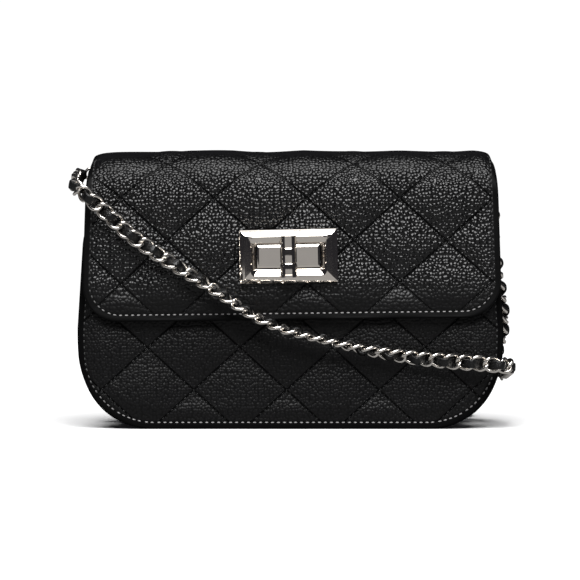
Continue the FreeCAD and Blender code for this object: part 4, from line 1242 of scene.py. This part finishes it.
def band_section(outer, inner):
    """The gusset's section as (distance inside the outline, Y), with a flange at each end of a flat band.

    The points of its outer face come first. Their count is the second value.
    """
    front = box_mm("front_panel_outer")[0][1] + WALL_CROWN + LEATHER_THICK + HAIR
    back = box_mm("back_panel_outer")[1][1] - WALL_CROWN - LEATHER_THICK - HAIR
    flange = [(0.3, 0.2), (0.2, 0.6), (0.3, 1.1), (outer - 1.4, 1.2), (outer - 0.4, 1.7), (outer, 2.8)]
    face = [(inset, front + deep) for inset, deep in flange]
    face += [(outer, y) for y in np.linspace(front + 3.6, back - 3.6, 20)]
    face += [(inset, back - deep) for inset, deep in flange[::-1]]
    lip = inner - 0.3
    inside = [(inner, back - 2.0), (lip, back - 0.2), (lip, front + 0.2), (inner, front + 2.0)]
    return np.array(face + inside), len(face)


def gusset_outline():
    """The back's outline as a line in space, from one top end round the bottom to the other."""
    skin = panel_skin("back_panel_outer", 1, (0.0, 0.0))
    line = skin.edge_line(0.0, box_mm("gusset_outer")[1][2])
    return resampled(np.insert(line, 1, 0.0, axis=1), 1.6)


def gusset_band(name, outline, section, sway, made_of):
    """A closed band all round the outline. sway is added to the section's distances inside it."""
    inward = np.cross(unit(np.gradient(outline, axis=0)), (0.0, 1.0, 0.0))
    inward *= np.sign((inward * ((0.0, 0.0, 70.0) - outline)).sum(axis=1))[:, None]
    inset, y = section.T
    points = outline[:, None] + inward[:, None] * (inset + sway)[..., None]
    x, z = points[..., 0], np.maximum(points[..., 2], 0.0)
    x = x + np.sign(x) * side_bulge(points[..., 2]) * smooth_step(-y, 8.0, 14.0)
    points = np.stack([x, np.broadcast_to(y, x.shape), z], axis=-1).reshape(-1, 3)
    around = arc_lengths(section)
    flat = np.stack(np.broadcast_arrays(arc_lengths(outline)[:, None], around[None, :]), axis=-1)
    faces = tube_faces(len(outline), len(section))
    return new_piece(name, points, faces, made_of, sharp=50, pattern=flat)


def make_gusset():
    """The leather round the sides and bottom, sewn between the front and the back, and its lining."""
    outline = gusset_outline()
    along = arc_lengths(outline)
    section, face_count = band_section(*GUSSET_LEATHER)
    y = section[:, 1]
    middle = smooth_step(y, -10.0, 0.0) * smooth_step(-y, -25.0, -15.0)
    sway = 0.7 * np.clip(0.7 * waves(along[:, None], y[None, :] * 1.5, 55.0, 21) * middle, -0.9, 0.9)
    sway[:, face_count:] = 0.0
    band_leather = gusset_band("gusset_leather", outline, section, sway, LEATHER)
    belongs(band_leather, "bag", "leather", "gusset_outer", "gusset_board")
    section = band_section(*GUSSET_LINING)[0]
    section = section[section[:, 0] > 5.0]  # without the flanges
    flat = np.zeros((len(outline), 1))
    lining = gusset_band("gusset_lining_cloth", outline, section, flat, LINING)
    belongs(lining, "bag", "lining", "gusset_lining")
    size = (float(np.ptp(section[:, 1])) * MM, float(along[-1]) * MM)
    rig.sheet(lining, flat=size, held="stretched", rests_on=[band_leather])


TAB_LOOP = 2.45  # outer radius of the tab's fold


def make_tabs(half_thick=0.6):
    """Each D ring's leather tab: folded round the ring's straight side and sewn flat on the gusset."""
    turns = np.radians(np.linspace(-75.0, 180.0, 28))
    for side, way in (("left", -1), ("right", 1)):
        low, high = box_mm(f"side_tab_{side}")
        outside = high[0] if way > 0 else low[0]
        centre = np.array([outside - way * TAB_LOOP, (low[1] + high[1]) / 2, high[2] - TAB_LOOP])
        foot = low[2] + 0.4 - centre[2]
        radius = TAB_LOOP - half_thick
        loop = [(radius * cos(a), radius * sin(a)) for a in turns]
        line = [(-0.55, foot), (-0.55, -3.6)] + loop + [(-radius, foot)]
        path = resampled(np.array([centre + (way * x, 0.0, z) for x, z in line]), 0.4)
        across = np.broadcast_to(np.array([0.0, 1.0, 0.0]), path.shape)
        tab = band(f"side_tab_{side}_leather", path, across, (high[1] - low[1]) / 2, half_thick, LEATHER)
        belongs(tab, "bag", "leather", f"side_tab_{side}")


# ---------------------------------------------------------------- the turn lock
LOCK_X, LOCK_Z = -1.0, 87.0
LOCK_LEAN = radians(1.2)
FRAME_HALF = (24.5, 13.3)
# (distance inside the sides, corner radius, depth behind the front) round the section; None is the base
FRAME_PROFILE = (
    (0.0, 0.4, None), (0.0, 0.4, 2.9), (0.15, 0.35, 2.75), (2.45, 0.3, 0.66), (2.6, 0.3, 0.58),
    (5.2, 2.6, 0.06), (5.5, 2.8, 0.0), (5.75, 2.8, 0.1), (6.6, 2.4, 0.85), (7.5, 1.9, 1.75),
    (8.15, 1.6, 2.6), (8.2, 1.6, None),
)
FRAME_SHARES = ((0.0, 2.6, 5.5, 8.2), (0.0, 2.6, 3.3, 7.1))  # the same distances inside the top and bottom
PAD_HALF = (15.7, 5.7)
BAR_HALF = 4.1
STEM_RADIUS = 1.9


def rounded_loop(half_x, half_z, radius, y, segments=10):
    """A rounded rectangle in an upright plane, the same number of points for every size."""
    points = []
    for corner, (side, end) in enumerate(((1, 1), (-1, 1), (-1, -1), (1, -1))):
        for angle in np.linspace(corner, corner + 1, segments + 1) * pi / 2:
            x = side * (half_x - radius) + radius * cos(angle)
            points.append((x, y, end * (half_z - radius) + radius * sin(angle)))
    return points


def lock_piece(name, node, body, points, faces, sharp):
    """A polished piece of the lock, about the lock's middle, which leans a little on the flap."""
    x, y, z = np.array(points, float).T
    c, s = cos(LOCK_LEAN), sin(LOCK_LEAN)
    leaning = np.stack([LOCK_X + c * x - s * z, y, LOCK_Z + s * x + c * z], axis=1)
    made = new_piece(name, leaning, faces, POLISHED, sharp=sharp)
    belongs(made, body, "polished_metal", node)


def lock_frame():
    """The frame: an outer bevel, a ridge that falls off to the sides, and a coved mouth."""
    low, high = box_mm("lock_frame")
    base, front = high[1], low[1]
    loops = []
    for inset, radius, deep in FRAME_PROFILE:
        off_end = np.interp(inset, *FRAME_SHARES)
        loops.append(rounded_loop(FRAME_HALF[0] - inset, FRAME_HALF[1] - off_end, radius,
                                  base if deep is None else front + deep))
    faces = grid_faces(len(loops), len(loops[0]), closed_rows=True, closed_columns=True)
    lock_piece("lock_frame_plate", "lock_frame", "flap", np.concatenate(loops), faces, 14)


def pad_plate():
    """The plate in the frame's mouth, with a broad shallow bevel."""
    low, high = box_mm("lock_pad_plate")
    loops = [rounded_loop(PAD_HALF[0] - inset, PAD_HALF[1] - inset, 0.3, y)
             for inset, y in ((0.0, high[1]), (0.0, low[1] + 0.55), (1.05, low[1]))]
    faces = tube_faces(len(loops), len(loops[0]))
    lock_piece("lock_pads", "lock_pad_plate", "flap", np.concatenate(loops), faces, 14)


def turn_bar(sides=24):
    """The bar: a flat front with round shoulders, two ring grooves and a foot, on the stem that turns."""
    low, high = box_mm("lock_turn_bar")
    front, back = low[1], box_mm("lock_frame")[0][1] - 0.3
    half = [(1.6, 0.0), (1.9, 0.05), (2.9, 0.7), (3.7, 1.6), (BAR_HALF, 2.7), (BAR_HALF, back - front)]
    section = half + [(-x, deep) for x, deep in half[::-1]]
    rows = ((-10.4, -0.25), (-9.2, -0.25), (-9.1, 0.0), (-3.95, 0.0), (-3.2, 0.4), (-2.95, 0.0), (3.65, 0.0),
            (4.4, 0.4), (4.65, 0.0), (10.1, 0.0), (10.4, 0.3))
    points = []
    for z, inset in rows:
        points += [(x * (1.0 - inset / BAR_HALF), min(front + deep + inset, back), z) for x, deep in section]
    faces = tube_faces(len(rows), len(section)) + tube_faces(2, sides, start=len(points))
    for y in (back - 1.0, high[1]):
        for turn in np.arange(sides) * tau / sides:
            points.append((STEM_RADIUS * cos(turn), y, STEM_RADIUS * sin(turn)))
    lock_piece("lock_bar", "lock_turn_bar", "lock", points, faces, 35)


def dress_metal():
    """Puts their metals on the CAD nodes that are shown as they are."""
    finish = {
        POLISHED: ("lock_lug", "keeper_plate", "keeper_rivets"),
        STEEL: ("lock_backplate", "lock_screws", "lock_washer", "keeper_backing"),
        CHAIN_METAL: ("d_ring_left", "d_ring_right", "strap_link_left", "strap_link_right"),
    }
    for made_of, names in finish.items():
        for name in names:
            NODES[name].data.materials.clear()
            NODES[name].data.materials.append(made_of)


make_panels()
make_flap()
make_gusset()
make_tabs()
lock_frame()
pad_plate()
turn_bar()
dress_metal()

with open("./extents.json", "w") as file:
    boxes = {"cad": CAD_BOX, "visual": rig.bounds()}
    json.dump({name: [list(corner) for corner in box] for name, box in boxes.items()}, file)
